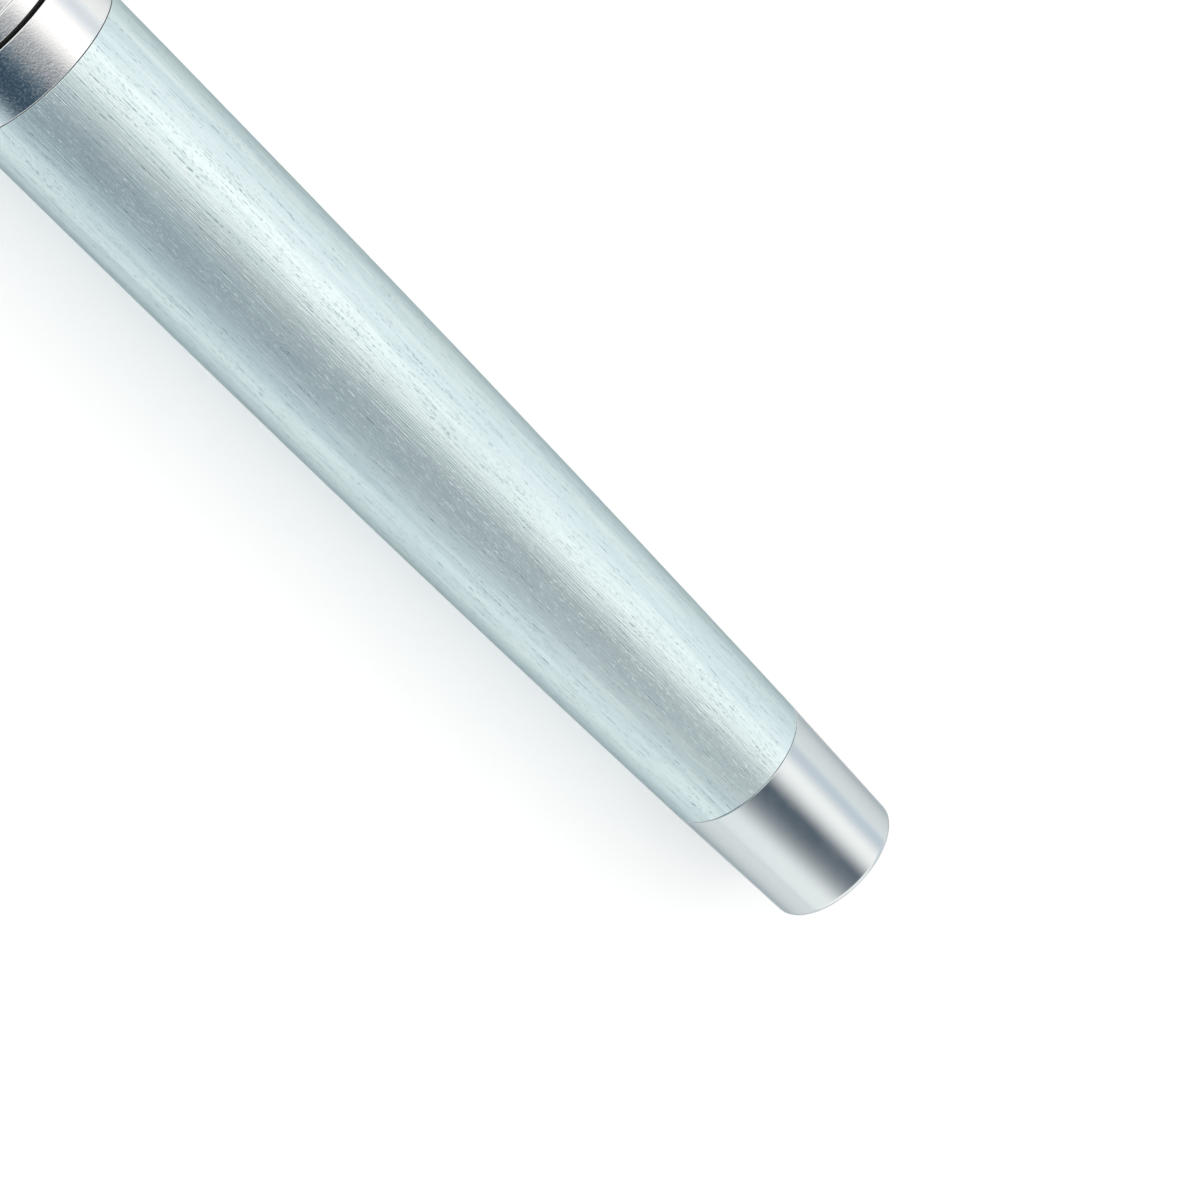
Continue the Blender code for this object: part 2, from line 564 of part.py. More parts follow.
def main():
    clear_scene()
    frame = add_empty("pen_frame")
    barrel = add_empty("barrel_axis", frame)
    section = add_empty("section_axis", frame)
    point = add_empty("point_axis", section)
    supply = add_empty("supply_axis", point)
    cap = add_empty("cap_axis", frame)
    clip_side = add_empty("clip_side", cap)
    clip_side.rotation_euler = (CLIP_TURN, 0.0, 0.0)
    pieces = [make(barrel) for make in (barrel_tube, barrel_ring, barrel_bush, end_cap)]
    pieces += [make(section) for make in (grip_section, section_seal)]
    pieces += [make(point) for make in (colour_ring, nib_body, point_sleeve, point_tube, nib_plug)]
    pieces += [make(point) for make in (drop_weight, cleaning_wire)]
    pieces += [make(supply) for make in (ink_cartridge, breather_spiral)]
    pieces += [make(cap) for make in (cap_tube, cap_lip_ring, cap_inner_sleeve, cap_seal)]
    pieces += [make(cap) for make in (cap_finial, cap_screw)]
    pieces += [make(clip_side) for make in (clip_ring, clip_arm)]
    lay_on_origin(frame, pieces)


main()
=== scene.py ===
# %% [markdown]
# # A capped technical pen, finished piece by piece
#
# The pen lies on its side with its cap on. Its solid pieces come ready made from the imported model,
# which also says how they move. This lesson gives them their final surfaces: turned shells with
# tiny edge rounds, a sprung clip, threads, and a procedural material for each finish.
# Lengths are in metres, so every size is a number of millimetres times MM.

import json
import math

import bmesh
import bpy
from mathutils import Matrix, Vector

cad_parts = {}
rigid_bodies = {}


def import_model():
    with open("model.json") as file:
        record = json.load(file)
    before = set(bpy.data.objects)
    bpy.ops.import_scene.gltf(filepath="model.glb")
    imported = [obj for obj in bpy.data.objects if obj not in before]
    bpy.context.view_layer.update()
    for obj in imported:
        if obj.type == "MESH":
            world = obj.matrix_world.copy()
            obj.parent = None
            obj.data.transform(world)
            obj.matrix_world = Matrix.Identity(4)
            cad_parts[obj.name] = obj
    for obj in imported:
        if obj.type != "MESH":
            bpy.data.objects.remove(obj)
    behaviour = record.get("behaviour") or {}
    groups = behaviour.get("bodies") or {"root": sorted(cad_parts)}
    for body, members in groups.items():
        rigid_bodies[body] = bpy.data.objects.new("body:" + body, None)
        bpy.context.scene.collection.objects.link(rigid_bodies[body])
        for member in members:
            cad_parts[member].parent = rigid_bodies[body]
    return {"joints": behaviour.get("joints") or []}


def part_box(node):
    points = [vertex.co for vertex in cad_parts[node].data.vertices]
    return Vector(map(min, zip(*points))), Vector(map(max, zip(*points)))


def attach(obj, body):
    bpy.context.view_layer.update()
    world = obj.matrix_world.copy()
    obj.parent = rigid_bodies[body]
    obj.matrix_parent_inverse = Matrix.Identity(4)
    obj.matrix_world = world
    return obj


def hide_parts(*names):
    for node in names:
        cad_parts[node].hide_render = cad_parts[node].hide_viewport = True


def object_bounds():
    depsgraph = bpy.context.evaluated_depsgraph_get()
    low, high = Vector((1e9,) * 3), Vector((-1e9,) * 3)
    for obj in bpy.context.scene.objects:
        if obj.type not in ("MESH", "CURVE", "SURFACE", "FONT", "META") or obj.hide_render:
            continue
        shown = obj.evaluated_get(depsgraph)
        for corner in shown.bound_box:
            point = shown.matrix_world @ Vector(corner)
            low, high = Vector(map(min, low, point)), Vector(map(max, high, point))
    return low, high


for leftover in list(bpy.data.objects):
    bpy.data.objects.remove(leftover, do_unlink=True)

MM = 0.001
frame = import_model()
cad_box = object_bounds()

# %% [markdown]
# ## Where the pen is
#
# Most of the pen was turned on a lathe, so a place along its axis and a radius say where anything is.
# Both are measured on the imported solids. They have flat facets, so the distance
# from their middle to a facet is a little less than the true radius.

# %% Measure the axis and the main sizes
FACETS = 32


def extent(node):
    """First and last place along the pen, and the true radius, of a turned solid."""
    low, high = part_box(node)
    return low.x, high.x, 0.5 * (high.z - low.z) / math.cos(math.pi / FACETS)


low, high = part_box("barrel_tube")
AXIS = Vector((0.0, 0.5 * (low.y + high.y), 0.5 * (low.z + high.z)))
BARREL_START, BARREL_END, BODY_RADIUS = extent("barrel_tube")
RING_START, _, _ = extent("barrel_ring")
LIP_FRONT, LIP_BACK, _ = extent("cap_lip_ring")
print(f"body {2 * BODY_RADIUS / MM:.1f} mm across, barrel {(BARREL_END - BARREL_START) / MM:.1f} mm long")

# %% [markdown]
# Blender shows an object only once it is linked to the scene's collection. The camera, the floor
# and every piece go through one helper, so none is forgotten.

# %% An object in the scene
def new_object(name, data):
    """Makes an object and puts it in the scene."""
    made = bpy.data.objects.new(name, data)
    bpy.context.scene.collection.objects.link(made)
    return made


print("object helper ready")

# %% [markdown]
# ## Camera
#
# A long lens stands almost above the pen and keeps its sides nearly parallel, as is usual for
# small goods. The camera is placed from the joint between cap and barrel: it first looks
# straight down with the tail to its right, then it leans towards the tail, then it rolls
# until the tail points to the lower right. Turning it by two named angles is easier to adjust
# than a list of rotations.

# %% Place the camera
LENS = 149.3
SENSOR = 36.0
TAIL_LEAN = math.radians(26.35)
TAIL_ROLL = math.radians(45.18)
SEAM_FROM_CAMERA = Vector((-33.0, 31.6, -291.4)) * MM

camera_data = bpy.data.cameras.new("long_lens")
camera_data.lens = LENS
camera_data.sensor_width = SENSOR
camera_data.clip_start = 10.0 * MM
camera_data.clip_end = 20.0
camera = new_object("camera", camera_data)
turn = Matrix.Rotation(-TAIL_LEAN, 4, "Y") @ Matrix.Rotation(TAIL_ROLL, 4, "Z")
seam = Vector((BARREL_START, AXIS.y, AXIS.z))
camera.matrix_world = Matrix.Translation(seam - turn.to_3x3() @ SEAM_FROM_CAMERA) @ turn
bpy.context.scene.camera = camera
print("camera stands", round(camera.matrix_world.translation.z / MM), "mm above the floor")

# %% [markdown]
# ## Nodes and colours
#
# Two small helpers carry all materials. One adds a node with its settings and links, and the
# other turns an ordinary hex colour into the linear numbers that Blender's shaders work with.

# %% Node and colour helpers
def add_node(tree, kind, inputs=None, **settings):
    """Adds a node. An input is a value, or another node's output socket, which is linked."""
    node = tree.nodes.new(kind)
    for name, value in settings.items():
        setattr(node, name, value)
    for name, value in (inputs or {}).items():
        if isinstance(value, bpy.types.NodeSocket):
            tree.links.new(value, node.inputs[name])
        else:
            node.inputs[name].default_value = value
    return node


def linear(hex_colour):
    """An sRGB hex colour as linear red, green, blue and alpha."""
    channels = [int(hex_colour[start:start + 2], 16) / 255.0 for start in (1, 3, 5)]
    curve = [c / 12.92 if c <= 0.04045 else ((c + 0.055) / 1.055) ** 2.4 for c in channels]
    return (*curve, 1.0)


def new_material(name):
    """An empty material with its tree, its output, and a Principled shader."""
    material = bpy.data.materials.new(name)
    material.use_nodes = True
    tree = material.node_tree
    tree.nodes.clear()
    output = add_node(tree, "ShaderNodeOutputMaterial")
    shader = add_node(tree, "ShaderNodeBsdfPrincipled")
    tree.links.new(shader.outputs["BSDF"], output.inputs["Surface"])
    return material, tree, shader


print("helpers ready")

# %% [markdown]
# ## Floor and light
#
# The pen lies in a light tent: white all round, with a bright floor and one dark card hung
# overhead, askew to the pen. Polished metal has no look of its own, only what it mirrors, and
# the card is what draws the dark band along the ring and the end cap. The tent is a world
# shader, a colour for each direction, so it is smooth and the same for every view.

# %% Light tent
CARD_NORMAL = Vector((0.866, -0.088, -0.493)).normalized()
CARD_COLOUR = "#2E4253"
TENT_COLOUR = "#FFFBF8"
DIM_SIDE_COLOUR = "#B2C3C9"
LOW_SIDE_COLOUR = "#CBD0D6"
HORIZON_COLOUR = "#DCE1E2"
TENT_STRENGTH = 1.44

world = bpy.data.worlds.new("light_tent")
world.use_nodes = True
bpy.context.scene.world = world
tree = world.node_tree
tree.nodes.clear()


def hang_card(tent, colour, *edges):
    """Adds a soft-edged card. Each edge is a measure, where it is clear and where it is full."""
    cover = 1.0
    for measure, clear, full in edges:
        edge = add_node(tree, "ShaderNodeMapRange", {
            "Value": measure, "From Min": clear, "From Max": full,
        }, interpolation_type="SMOOTHSTEP").outputs[0]
        cover = add_node(tree, "ShaderNodeMath", {0: cover, 1: edge}, operation="MULTIPLY").outputs[0]
    return add_node(tree, "ShaderNodeMix", {
        "Factor": cover, "A": tent, "B": linear(colour),
    }, data_type="RGBA").outputs["Result"]


direction = add_node(tree, "ShaderNodeTexCoord").outputs["Generated"]
across = add_node(tree, "ShaderNodeVectorMath", {
    0: direction, 1: CARD_NORMAL,
}, operation="DOT_PRODUCT").outputs["Value"]
towards = add_node(tree, "ShaderNodeSeparateXYZ", {"Vector": direction}).outputs
x, y, z = towards["X"], towards["Y"], towards["Z"]
tent = hang_card(linear(TENT_COLOUR), DIM_SIDE_COLOUR, (y, 0.1, -0.5), (x, 0.65, 0.32))
tent = hang_card(tent, LOW_SIDE_COLOUR, (z, 0.55, 0.22), (y, 0.0, 0.6))
tent = hang_card(tent, HORIZON_COLOUR, (z, 0.14, 0.0))
tent = hang_card(
    tent, CARD_COLOUR, (across, 0.33, 0.03), (across, -0.43, -0.1), (y, 0.63, 0.09), (z, 0.0, 0.45),
)
background = add_node(tree, "ShaderNodeBackground", {"Color": tent, "Strength": TENT_STRENGTH})
add_node(tree, "ShaderNodeOutputWorld", {"Surface": background.outputs[0]})
bpy.context.scene.view_settings.view_transform = "Standard"
bpy.context.scene.view_settings.look = "None"
print("light tent with", len(tree.nodes), "nodes")

# %% [markdown]
# The floor is a wide sheet of white paper. It glows very slightly, as paper in a light tent does
# when light also comes through it from below, so the shadow under the pen stays faint.

# %% Floor
FLOOR_RADIUS = 6.0
FLOOR_SIDES = 96
FLOOR_DROP = 0.03 * MM      # the solids' flat facets lie this much inside the true round

floor_mesh = bpy.data.meshes.new("floor")
disc = bmesh.new()
bmesh.ops.create_circle(disc, cap_ends=True, segments=FLOOR_SIDES, radius=FLOOR_RADIUS)
disc.to_mesh(floor_mesh)
disc.free()
floor = new_object("floor", floor_mesh)
floor.location.z = cad_box[0].z - FLOOR_DROP
paper, tree, shader = new_material("matt_white_paper")
shader.inputs["Base Color"].default_value = linear("#E9E7E6")
shader.inputs["Roughness"].default_value = 0.9
shader.inputs["Emission Color"].default_value = linear("#FFFFFF")
shader.inputs["Emission Strength"].default_value = 0.3
floor.data.materials.append(paper)
print("floor at", round(floor.location.z / MM, 3), "mm")

# %% [markdown]
# ## Brushed anodised aluminium
#
# The barrel and the cap are aluminium tubes, brushed along their length with a fine abrasive and
# then anodised. Brushing cuts straight lines a few hundredths of a millimetre wide. They mirror
# light sideways, so they show as bright and dark dashes where the light changes, and they leave
# even places calm. The clear oxide layer adds a cool, faintly green tint.
# One noise is stretched so far along the pen that it makes straight lines, and a shorter one
# breaks the lines into dashes, because grit digs in and lets go. Broad faint streaks vary the
# colour and the gloss. The lines also darken the colour, more the deeper they are cut, and the
# deepest take a dark groove colour: this is painted shade in the grooves. Real lines are finer
# still, and are drawn about a tenth of a millimetre wide so that they show.

# %% Brushed aluminium
LINE_LENGTH = 4.0 * MM
LINE_WIDTH = 0.08 * MM
LINE_DEPTH = 0.02 * MM
DASH_LENGTH = 0.3 * MM
DASH_WIDTH = 0.1 * MM
CALM_SHARE = 0.25           # depth of a line between two dashes, as a share of the full depth
STREAK_LENGTH = 18.0 * MM
STREAK_WIDTH = 0.6 * MM
# the rest of the colour change is painted shade, darker where the lines are cut deeper
STREAK_SHARE = 0.5          # how much of the colour change comes from streaks, and not lines
ANODISED_LIGHT = "#E4F0F0"
ANODISED_DARK = "#C6D8DB"
# painted shade: the dark colour laid into the deepest parts of the brushed lines
GROOVE_SHADE_COLOUR = "#6E8890"
ANODISED_EDGE = "#879499"
BRUSHED_ROUGHNESS = (0.40, 0.34)


def grain(tree, length, width, detail, seed):
    """Noise whose grains are length long along the pen and width across it."""
    where = add_node(tree, "ShaderNodeTexCoord").outputs["Object"]
    stretched = add_node(tree, "ShaderNodeMapping", {
        "Vector": where, "Scale": (1.0 / length, 1.0 / width, 1.0 / width),
        "Location": (seed, 0.37 * seed, 0.0),
    })
    return add_node(tree, "ShaderNodeTexNoise", {
        "Vector": stretched.outputs[0], "Scale": 1.0, "Detail": detail, "Roughness": 0.6,
    }).outputs["Fac"]


brushed_aluminium, tree, shader = new_material("brushed_anodised_aluminium")
lines = add_node(tree, "ShaderNodeMapRange", {
    "Value": grain(tree, LINE_LENGTH, LINE_WIDTH, 2.0, 3.0),
    "From Min": 0.3, "From Max": 0.7, "To Min": -0.5, "To Max": 0.5,
}).outputs[0]
dashes = add_node(tree, "ShaderNodeMapRange", {
    "Value": grain(tree, DASH_LENGTH, DASH_WIDTH, 1.0, 11.0),
    "From Min": 0.45, "From Max": 0.65, "To Min": CALM_SHARE,
}).outputs[0]
streaks = add_node(tree, "ShaderNodeMapRange", {
    "Value": grain(tree, STREAK_LENGTH, STREAK_WIDTH, 3.0, 23.0), "From Min": 0.35, "From Max": 0.65,
}).outputs[0]
level = add_node(tree, "ShaderNodeMath", {0: lines, 1: dashes}, operation="MULTIPLY").outputs[0]
relief = add_node(tree, "ShaderNodeBump", {"Height": level, "Distance": LINE_DEPTH, "Strength": 1.0})
shallow = add_node(tree, "ShaderNodeMath", {0: level, 1: 0.5}, operation="ADD").outputs[0]
# Half real streaky tone, half painted shade: the depth of the lines darkens the colour.
streaks_and_groove_shade = add_node(tree, "ShaderNodeMix", {
    "Factor": STREAK_SHARE, "A": shallow, "B": streaks,
}, data_type="FLOAT").outputs["Result"]
tint = add_node(tree, "ShaderNodeMix", {
    "Factor": streaks_and_groove_shade, "A": linear(ANODISED_DARK), "B": linear(ANODISED_LIGHT),
}, data_type="RGBA").outputs["Result"]
# Painted shade in the grooves: the deeper a line is cut, the more of the dark groove colour it takes.
groove_shade = add_node(tree, "ShaderNodeMapRange", {
    "Value": level, "From Min": -0.12, "From Max": -0.4, "To Max": 0.7,
}).outputs[0]
tint = add_node(tree, "ShaderNodeMix", {
    "Factor": groove_shade, "A": tint, "B": linear(GROOVE_SHADE_COLOUR),
}, data_type="RGBA").outputs["Result"]
roughness = add_node(tree, "ShaderNodeMapRange", {
    "Value": streaks, "To Min": BRUSHED_ROUGHNESS[0], "To Max": BRUSHED_ROUGHNESS[1],
}).outputs[0]
tree.links.new(tint, shader.inputs["Base Color"])
tree.links.new(roughness, shader.inputs["Roughness"])
tree.links.new(relief.outputs[0], shader.inputs["Normal"])
shader.inputs["Metallic"].default_value = 1.0
shader.inputs["Specular Tint"].default_value = linear(ANODISED_EDGE)
print(brushed_aluminium.name, "with", len(tree.nodes), "nodes")

# %% [markdown]
# ## Polished chrome plate
#
# The rings, the end cap, the cap's top and the clip are turned or pressed brass, buffed and
# plated with nickel and chromium. Chrome is a cool mirror. What keeps it from looking unreal
# is a trace of handling: faint smears that dull it a little, several millimetres wide.
# The two rings at the joint were tumbled rather than buffed, and keep a fine pebbled grain.

# %% Chrome plate
SMEAR_SIZE = 4.0 * MM
SMEAR_DULLING = 0.04
CHROME_COLOUR = "#CAD1D3"
CHROME_EDGE = "#BCC4C8"
NICKEL_COLOUR = "#E2E4E4"
NICKEL_EDGE = "#8F999E"


def chrome_plate(name, colour, edge_colour, mark_size, mark_depth, smooth, dull):
    """Chrome with broad smears, and buffing marks or pebbles of a given size and depth."""
    material, tree, shader = new_material(name)
    smears = add_node(tree, "ShaderNodeMapRange", {
        "Value": grain(tree, SMEAR_SIZE, SMEAR_SIZE, 3.0, 5.0),
        "From Min": 0.4, "From Max": 0.75, "To Max": SMEAR_DULLING,
    }).outputs[0]
    marks = grain(tree, 1.5 * mark_size, mark_size, 2.0, 7.0)
    relief = add_node(tree, "ShaderNodeBump", {"Height": marks, "Distance": mark_depth, "Strength": 1.0})
    buffed = add_node(tree, "ShaderNodeMapRange", {
        "Value": marks, "From Min": 0.42, "From Max": 0.68, "To Min": smooth, "To Max": dull,
    }).outputs[0]
    roughness = add_node(tree, "ShaderNodeMath", {0: smears, 1: buffed}, operation="ADD").outputs[0]
    tree.links.new(roughness, shader.inputs["Roughness"])
    tree.links.new(relief.outputs[0], shader.inputs["Normal"])
    shader.inputs["Base Color"].default_value = linear(colour)
    shader.inputs["Specular Tint"].default_value = linear(edge_colour)
    shader.inputs["Metallic"].default_value = 1.0
    return material


polished_chrome = chrome_plate(
    "polished_chrome_plate", CHROME_COLOUR, CHROME_EDGE,
    mark_size=0.5 * MM, mark_depth=0.0006 * MM, smooth=0.11, dull=0.13,
)
pebbled_chrome = chrome_plate(
    "pebbled_chrome_plate", NICKEL_COLOUR, NICKEL_EDGE,
    mark_size=0.11 * MM, mark_depth=0.006 * MM, smooth=0.09, dull=0.24,
)
print(polished_chrome.name, "and", pebbled_chrome.name)

# %% [markdown]
# ## Plastics, rubber and plain metals
#
# The inner pieces are moulded plastic and turned or drawn metal. A moulded plastic shows the
# fine pitting of its steel mould, rubber is duller and softer, and a lathe leaves rings a tenth
# of a millimetre apart. Each gets its own grain size, worked out from that real size.

# %% Moulded plastics and rubber
def moulded(name, colour, roughness, pit_size, pit_depth, coat=0.0):
    """A plastic or rubber with the fine pits of its mould."""
    material, tree, shader = new_material(name)
    pits = grain(tree, pit_size, pit_size, 2.0, 2.0)
    relief = add_node(tree, "ShaderNodeBump", {"Height": pits, "Distance": pit_depth, "Strength": 1.0})
    uneven = add_node(tree, "ShaderNodeMapRange", {
        "Value": pits, "From Min": 0.3, "From Max": 0.7,
        "To Min": roughness - 0.05, "To Max": roughness + 0.05,
    }).outputs[0]
    tree.links.new(uneven, shader.inputs["Roughness"])
    tree.links.new(relief.outputs[0], shader.inputs["Normal"])
    shader.inputs["Base Color"].default_value = linear(colour)
    shader.inputs["Coat Weight"].default_value = coat
    return material


black_abs = moulded("black_moulded_abs", "#17181A", 0.42, 0.12 * MM, 0.006 * MM)
black_acetal = moulded("black_acetal", "#1D1E20", 0.35, 0.2 * MM, 0.002 * MM)
white_acetal = moulded("white_acetal", "#E4E4DF", 0.38, 0.25 * MM, 0.003 * MM)
grey_polyester = moulded("grey_moulded_polyester", "#70757A", 0.34, 0.15 * MM, 0.003 * MM)
blue_abs = moulded("blue_glossy_abs", "#1D4E9E", 0.2, 0.5 * MM, 0.001 * MM, coat=0.4)
nitrile = moulded("black_nitrile_rubber", "#101011", 0.62, 0.10 * MM, 0.006 * MM)
silicone = moulded("grey_silicone_rubber", "#4C4E52", 0.55, 0.15 * MM, 0.004 * MM)
print("seven moulded materials")

# %% [markdown]
# A lathe tool moves a little with every turn, and leaves rings as far apart as it moved. The
# noise is squeezed onto the axis alone, so that it makes rings and nothing else. Drawn steel tube
# is finer, with half the spacing.

# %% Turned and drawn metals
RING_PITCH = 0.1 * MM


def turned_metal(name, colour, roughness, pitch, depth):
    """A metal with the fine rings that a lathe tool leaves round the axis."""
    material, tree, shader = new_material(name)
    where = add_node(tree, "ShaderNodeTexCoord").outputs["Object"]
    along = add_node(tree, "ShaderNodeMapping", {"Vector": where, "Scale": (1.0 / pitch, 0.0, 0.0)})
    rings = add_node(tree, "ShaderNodeTexNoise", {
        "Vector": along.outputs[0], "Scale": 1.0, "Detail": 2.0,
    }).outputs["Fac"]
    relief = add_node(tree, "ShaderNodeBump", {"Height": rings, "Distance": depth, "Strength": 1.0})
    uneven = add_node(tree, "ShaderNodeMapRange", {
        "Value": rings, "From Min": 0.3, "From Max": 0.7,
        "To Min": roughness - 0.06, "To Max": roughness + 0.06,
    }).outputs[0]
    tree.links.new(uneven, shader.inputs["Roughness"])
    tree.links.new(relief.outputs[0], shader.inputs["Normal"])
    shader.inputs["Base Color"].default_value = linear(colour)
    shader.inputs["Metallic"].default_value = 1.0
    return material


turned_brass = turned_metal("turned_brass", "#D9B878", 0.28, RING_PITCH, 0.002 * MM)
stainless = turned_metal("drawn_stainless_steel", "#CDCFD0", 0.2, 0.5 * RING_PITCH, 0.0008 * MM)
print("two turned metals")

# %% [markdown]
# The cartridge is blown from polypropylene, thin and milky rather than clear. A cloudy wall blurs
# what is behind it, so black ink shows as a dark tint of the wall with a soft end, a little
# ragged where ink clings. The tint is drawn in the wall's own colour, by the place along the pen.
# Glass-like transmission over a dark column would do the same at the price of much more grain.

# %% Milky polypropylene
INK_SHARE = 0.68            # how much of the cartridge is still full
INK_EDGE = 1.5 * MM
HAZE_LENGTH = 3.0 * MM
EMPTY_WALL_COLOUR = "#C8CFD2"
INKED_WALL_COLOUR = "#2B2F35"

cartridge_front, cartridge_end, _ = extent("ink_cartridge")
ink_end = cartridge_front + INK_SHARE * (cartridge_end - cartridge_front)
milky_plastic, tree, shader = new_material("milky_polypropylene")
haze = grain(tree, HAZE_LENGTH, 0.5 * HAZE_LENGTH, 2.0, 4.0)
spot = add_node(tree, "ShaderNodeTexCoord").outputs["Object"]
place = add_node(tree, "ShaderNodeSeparateXYZ", {"Vector": spot}).outputs["X"]
ragged = add_node(tree, "ShaderNodeMath", {
    0: haze, 1: INK_EDGE, 2: place,
}, operation="MULTIPLY_ADD").outputs[0]
full = add_node(tree, "ShaderNodeMapRange", {
    "Value": ragged, "From Min": ink_end + INK_EDGE, "From Max": ink_end,
}, interpolation_type="SMOOTHSTEP").outputs[0]
wall_tint = add_node(tree, "ShaderNodeMix", {
    "Factor": full, "A": linear(EMPTY_WALL_COLOUR), "B": linear(INKED_WALL_COLOUR),
}, data_type="RGBA").outputs["Result"]
gloss = add_node(tree, "ShaderNodeMapRange", {
    "Value": haze, "From Min": 0.3, "From Max": 0.7, "To Min": 0.2, "To Max": 0.34,
}).outputs[0]
tree.links.new(wall_tint, shader.inputs["Base Color"])
tree.links.new(gloss, shader.inputs["Roughness"])
shader.inputs["IOR"].default_value = 1.49
print(milky_plastic.name, "with ink as far as", round((ink_end - cartridge_front) / MM, 1), "mm")

# %% [markdown]
# ## A lathe made of nodes
#
# A turned piece is one outline spun round the axis, so one node tree can make them all. It reads
# a thin outline mesh, whose points hold a place along the pen and a radius. A grid has one row for
# each outline point and one column for each step round the pen, and each grid point is moved to
# its angle. Points that fall together, at the seam and on the axis, are merged.
# Blender's Screw modifier would do this too, but the tree keeps its sizes as named inputs
# and hands over a finished mesh with its material. Four helpers begin a tree, lay the grid out,
# roll it up and end the tree, because the thread further on needs the same steps.

# %% Tree helpers
MERGE_DISTANCE = 0.0001 * MM


def new_tree(name, **inputs):
    """A geometry tree with named inputs and one output, and the inputs' sockets."""
    tree = bpy.data.node_groups.new(name, "GeometryNodeTree")
    for label, kind in inputs.items():
        tree.interface.new_socket(label, in_out="INPUT", socket_type="NodeSocket" + kind)
    tree.interface.new_socket("Piece", in_out="OUTPUT", socket_type="NodeSocketGeometry")
    return tree, add_node(tree, "NodeGroupInput").outputs


def lay_out(tree, outline, steps, closed):
    """A grid of outline points by steps. Also each point's column, and its place on the outline."""
    points = add_node(tree, "GeometryNodeAttributeDomainSize", {"Geometry": outline}).outputs["Point Count"]
    rows = add_node(tree, "ShaderNodeMath", {0: points, 1: closed}, operation="ADD").outputs[0]
    columns = add_node(tree, "ShaderNodeMath", {0: steps, 1: 1.0}, operation="ADD").outputs[0]
    grid = add_node(tree, "GeometryNodeMeshGrid", {"Vertices X": columns, "Vertices Y": rows})
    number = add_node(tree, "GeometryNodeInputIndex").outputs[0]
    row = add_node(tree, "ShaderNodeMath", {0: number, 1: rows}, operation="FLOORED_MODULO").outputs[0]
    divided = add_node(tree, "ShaderNodeMath", {0: number, 1: rows}, operation="DIVIDE").outputs[0]
    column = add_node(tree, "ShaderNodeMath", {0: divided}, operation="FLOOR").outputs[0]
    source = add_node(tree, "ShaderNodeMath", {0: row, 1: points}, operation="FLOORED_MODULO").outputs[0]
    where = add_node(tree, "GeometryNodeInputPosition").outputs[0]
    picked = add_node(tree, "GeometryNodeSampleIndex", {
        "Geometry": outline, "Value": where, "Index": source,
    }, data_type="FLOAT_VECTOR", domain="POINT").outputs[0]
    return grid.outputs["Mesh"], column, add_node(tree, "ShaderNodeSeparateXYZ", {"Vector": picked}).outputs


def roll_up(tree, grid, place, radius, turns, axis):
    """Moves each grid point to its place along the axis, its radius and its angle."""
    angle = add_node(tree, "ShaderNodeMath", {0: turns, 1: 2.0 * math.pi}, operation="MULTIPLY").outputs[0]
    cosine = add_node(tree, "ShaderNodeMath", {0: angle}, operation="COSINE").outputs[0]
    sine = add_node(tree, "ShaderNodeMath", {0: angle}, operation="SINE").outputs[0]
    side = add_node(tree, "ShaderNodeMath", {0: radius, 1: cosine}, operation="MULTIPLY").outputs[0]
    rise = add_node(tree, "ShaderNodeMath", {0: radius, 1: sine}, operation="MULTIPLY").outputs[0]
    spot = add_node(tree, "ShaderNodeCombineXYZ", {"X": place, "Y": side, "Z": rise}).outputs[0]
    placed = add_node(tree, "ShaderNodeVectorMath", {0: spot, 1: axis}, operation="ADD").outputs[0]
    moved = add_node(tree, "GeometryNodeSetPosition", {"Geometry": grid, "Position": placed}).outputs[0]
    return add_node(tree, "GeometryNodeMergeByDistance", {
        "Geometry": moved, "Distance": MERGE_DISTANCE,
    }).outputs[0]


def end_tree(tree, geometry, finish):
    """Ends a tree with plain geometry that carries its material."""
    real = add_node(tree, "GeometryNodeRealizeInstances", {"Geometry": geometry}).outputs[0]
    painted = add_node(tree, "GeometryNodeSetMaterial", {"Geometry": real, "Material": finish}).outputs[0]
    add_node(tree, "NodeGroupOutput", {"Piece": painted})


print("tree helpers ready")

# %% [markdown]
# With these helpers the lathe itself is short: a column's share of all the sides is its share of
# one full turn, and each outline point keeps its own place and radius.

# %% The lathe tree
lathe, given = new_tree(
    "turn_on_lathe", Outline="Geometry", Sides="Int", Closed="Bool", Axis="Vector", Finish="Material",
)
grid, column, outline = lay_out(lathe, given["Outline"], given["Sides"], given["Closed"])
turn = add_node(lathe, "ShaderNodeMath", {0: column, 1: given["Sides"]}, operation="DIVIDE").outputs[0]
rolled = roll_up(lathe, grid, outline["X"], outline["Y"], turn, given["Axis"])
end_tree(lathe, rolled, given["Finish"])
print("lathe tree with", len(lathe.nodes), "nodes")

# %% [markdown]
# ## From a tree to a piece
#
# A modifier's inputs are set by their identifiers. The evaluated result is then copied into a
# plain mesh and the modifier removed, so that each piece ends as ordinary polygons. Edges
# sharper than 40 degrees are marked sharp, and the rest is shaded smooth.

# %% Run a tree and keep its mesh
SHARP_ANGLE = math.radians(40.0)


def run_tree(piece, tree, values):
    """Runs a node tree on an object and puts the finished mesh in its place."""
    modifier = piece.modifiers.new("shape", "NODES")
    modifier.node_group = tree
    for item in tree.interface.items_tree:
        if item.in_out == "INPUT" and item.name in values:
            modifier[item.identifier] = values[item.name]
    bpy.context.view_layer.update()
    graph = bpy.context.evaluated_depsgraph_get()
    mesh = bpy.data.meshes.new_from_object(piece.evaluated_get(graph))
    piece.modifiers.clear()
    piece.data = mesh
    mesh.name = piece.name


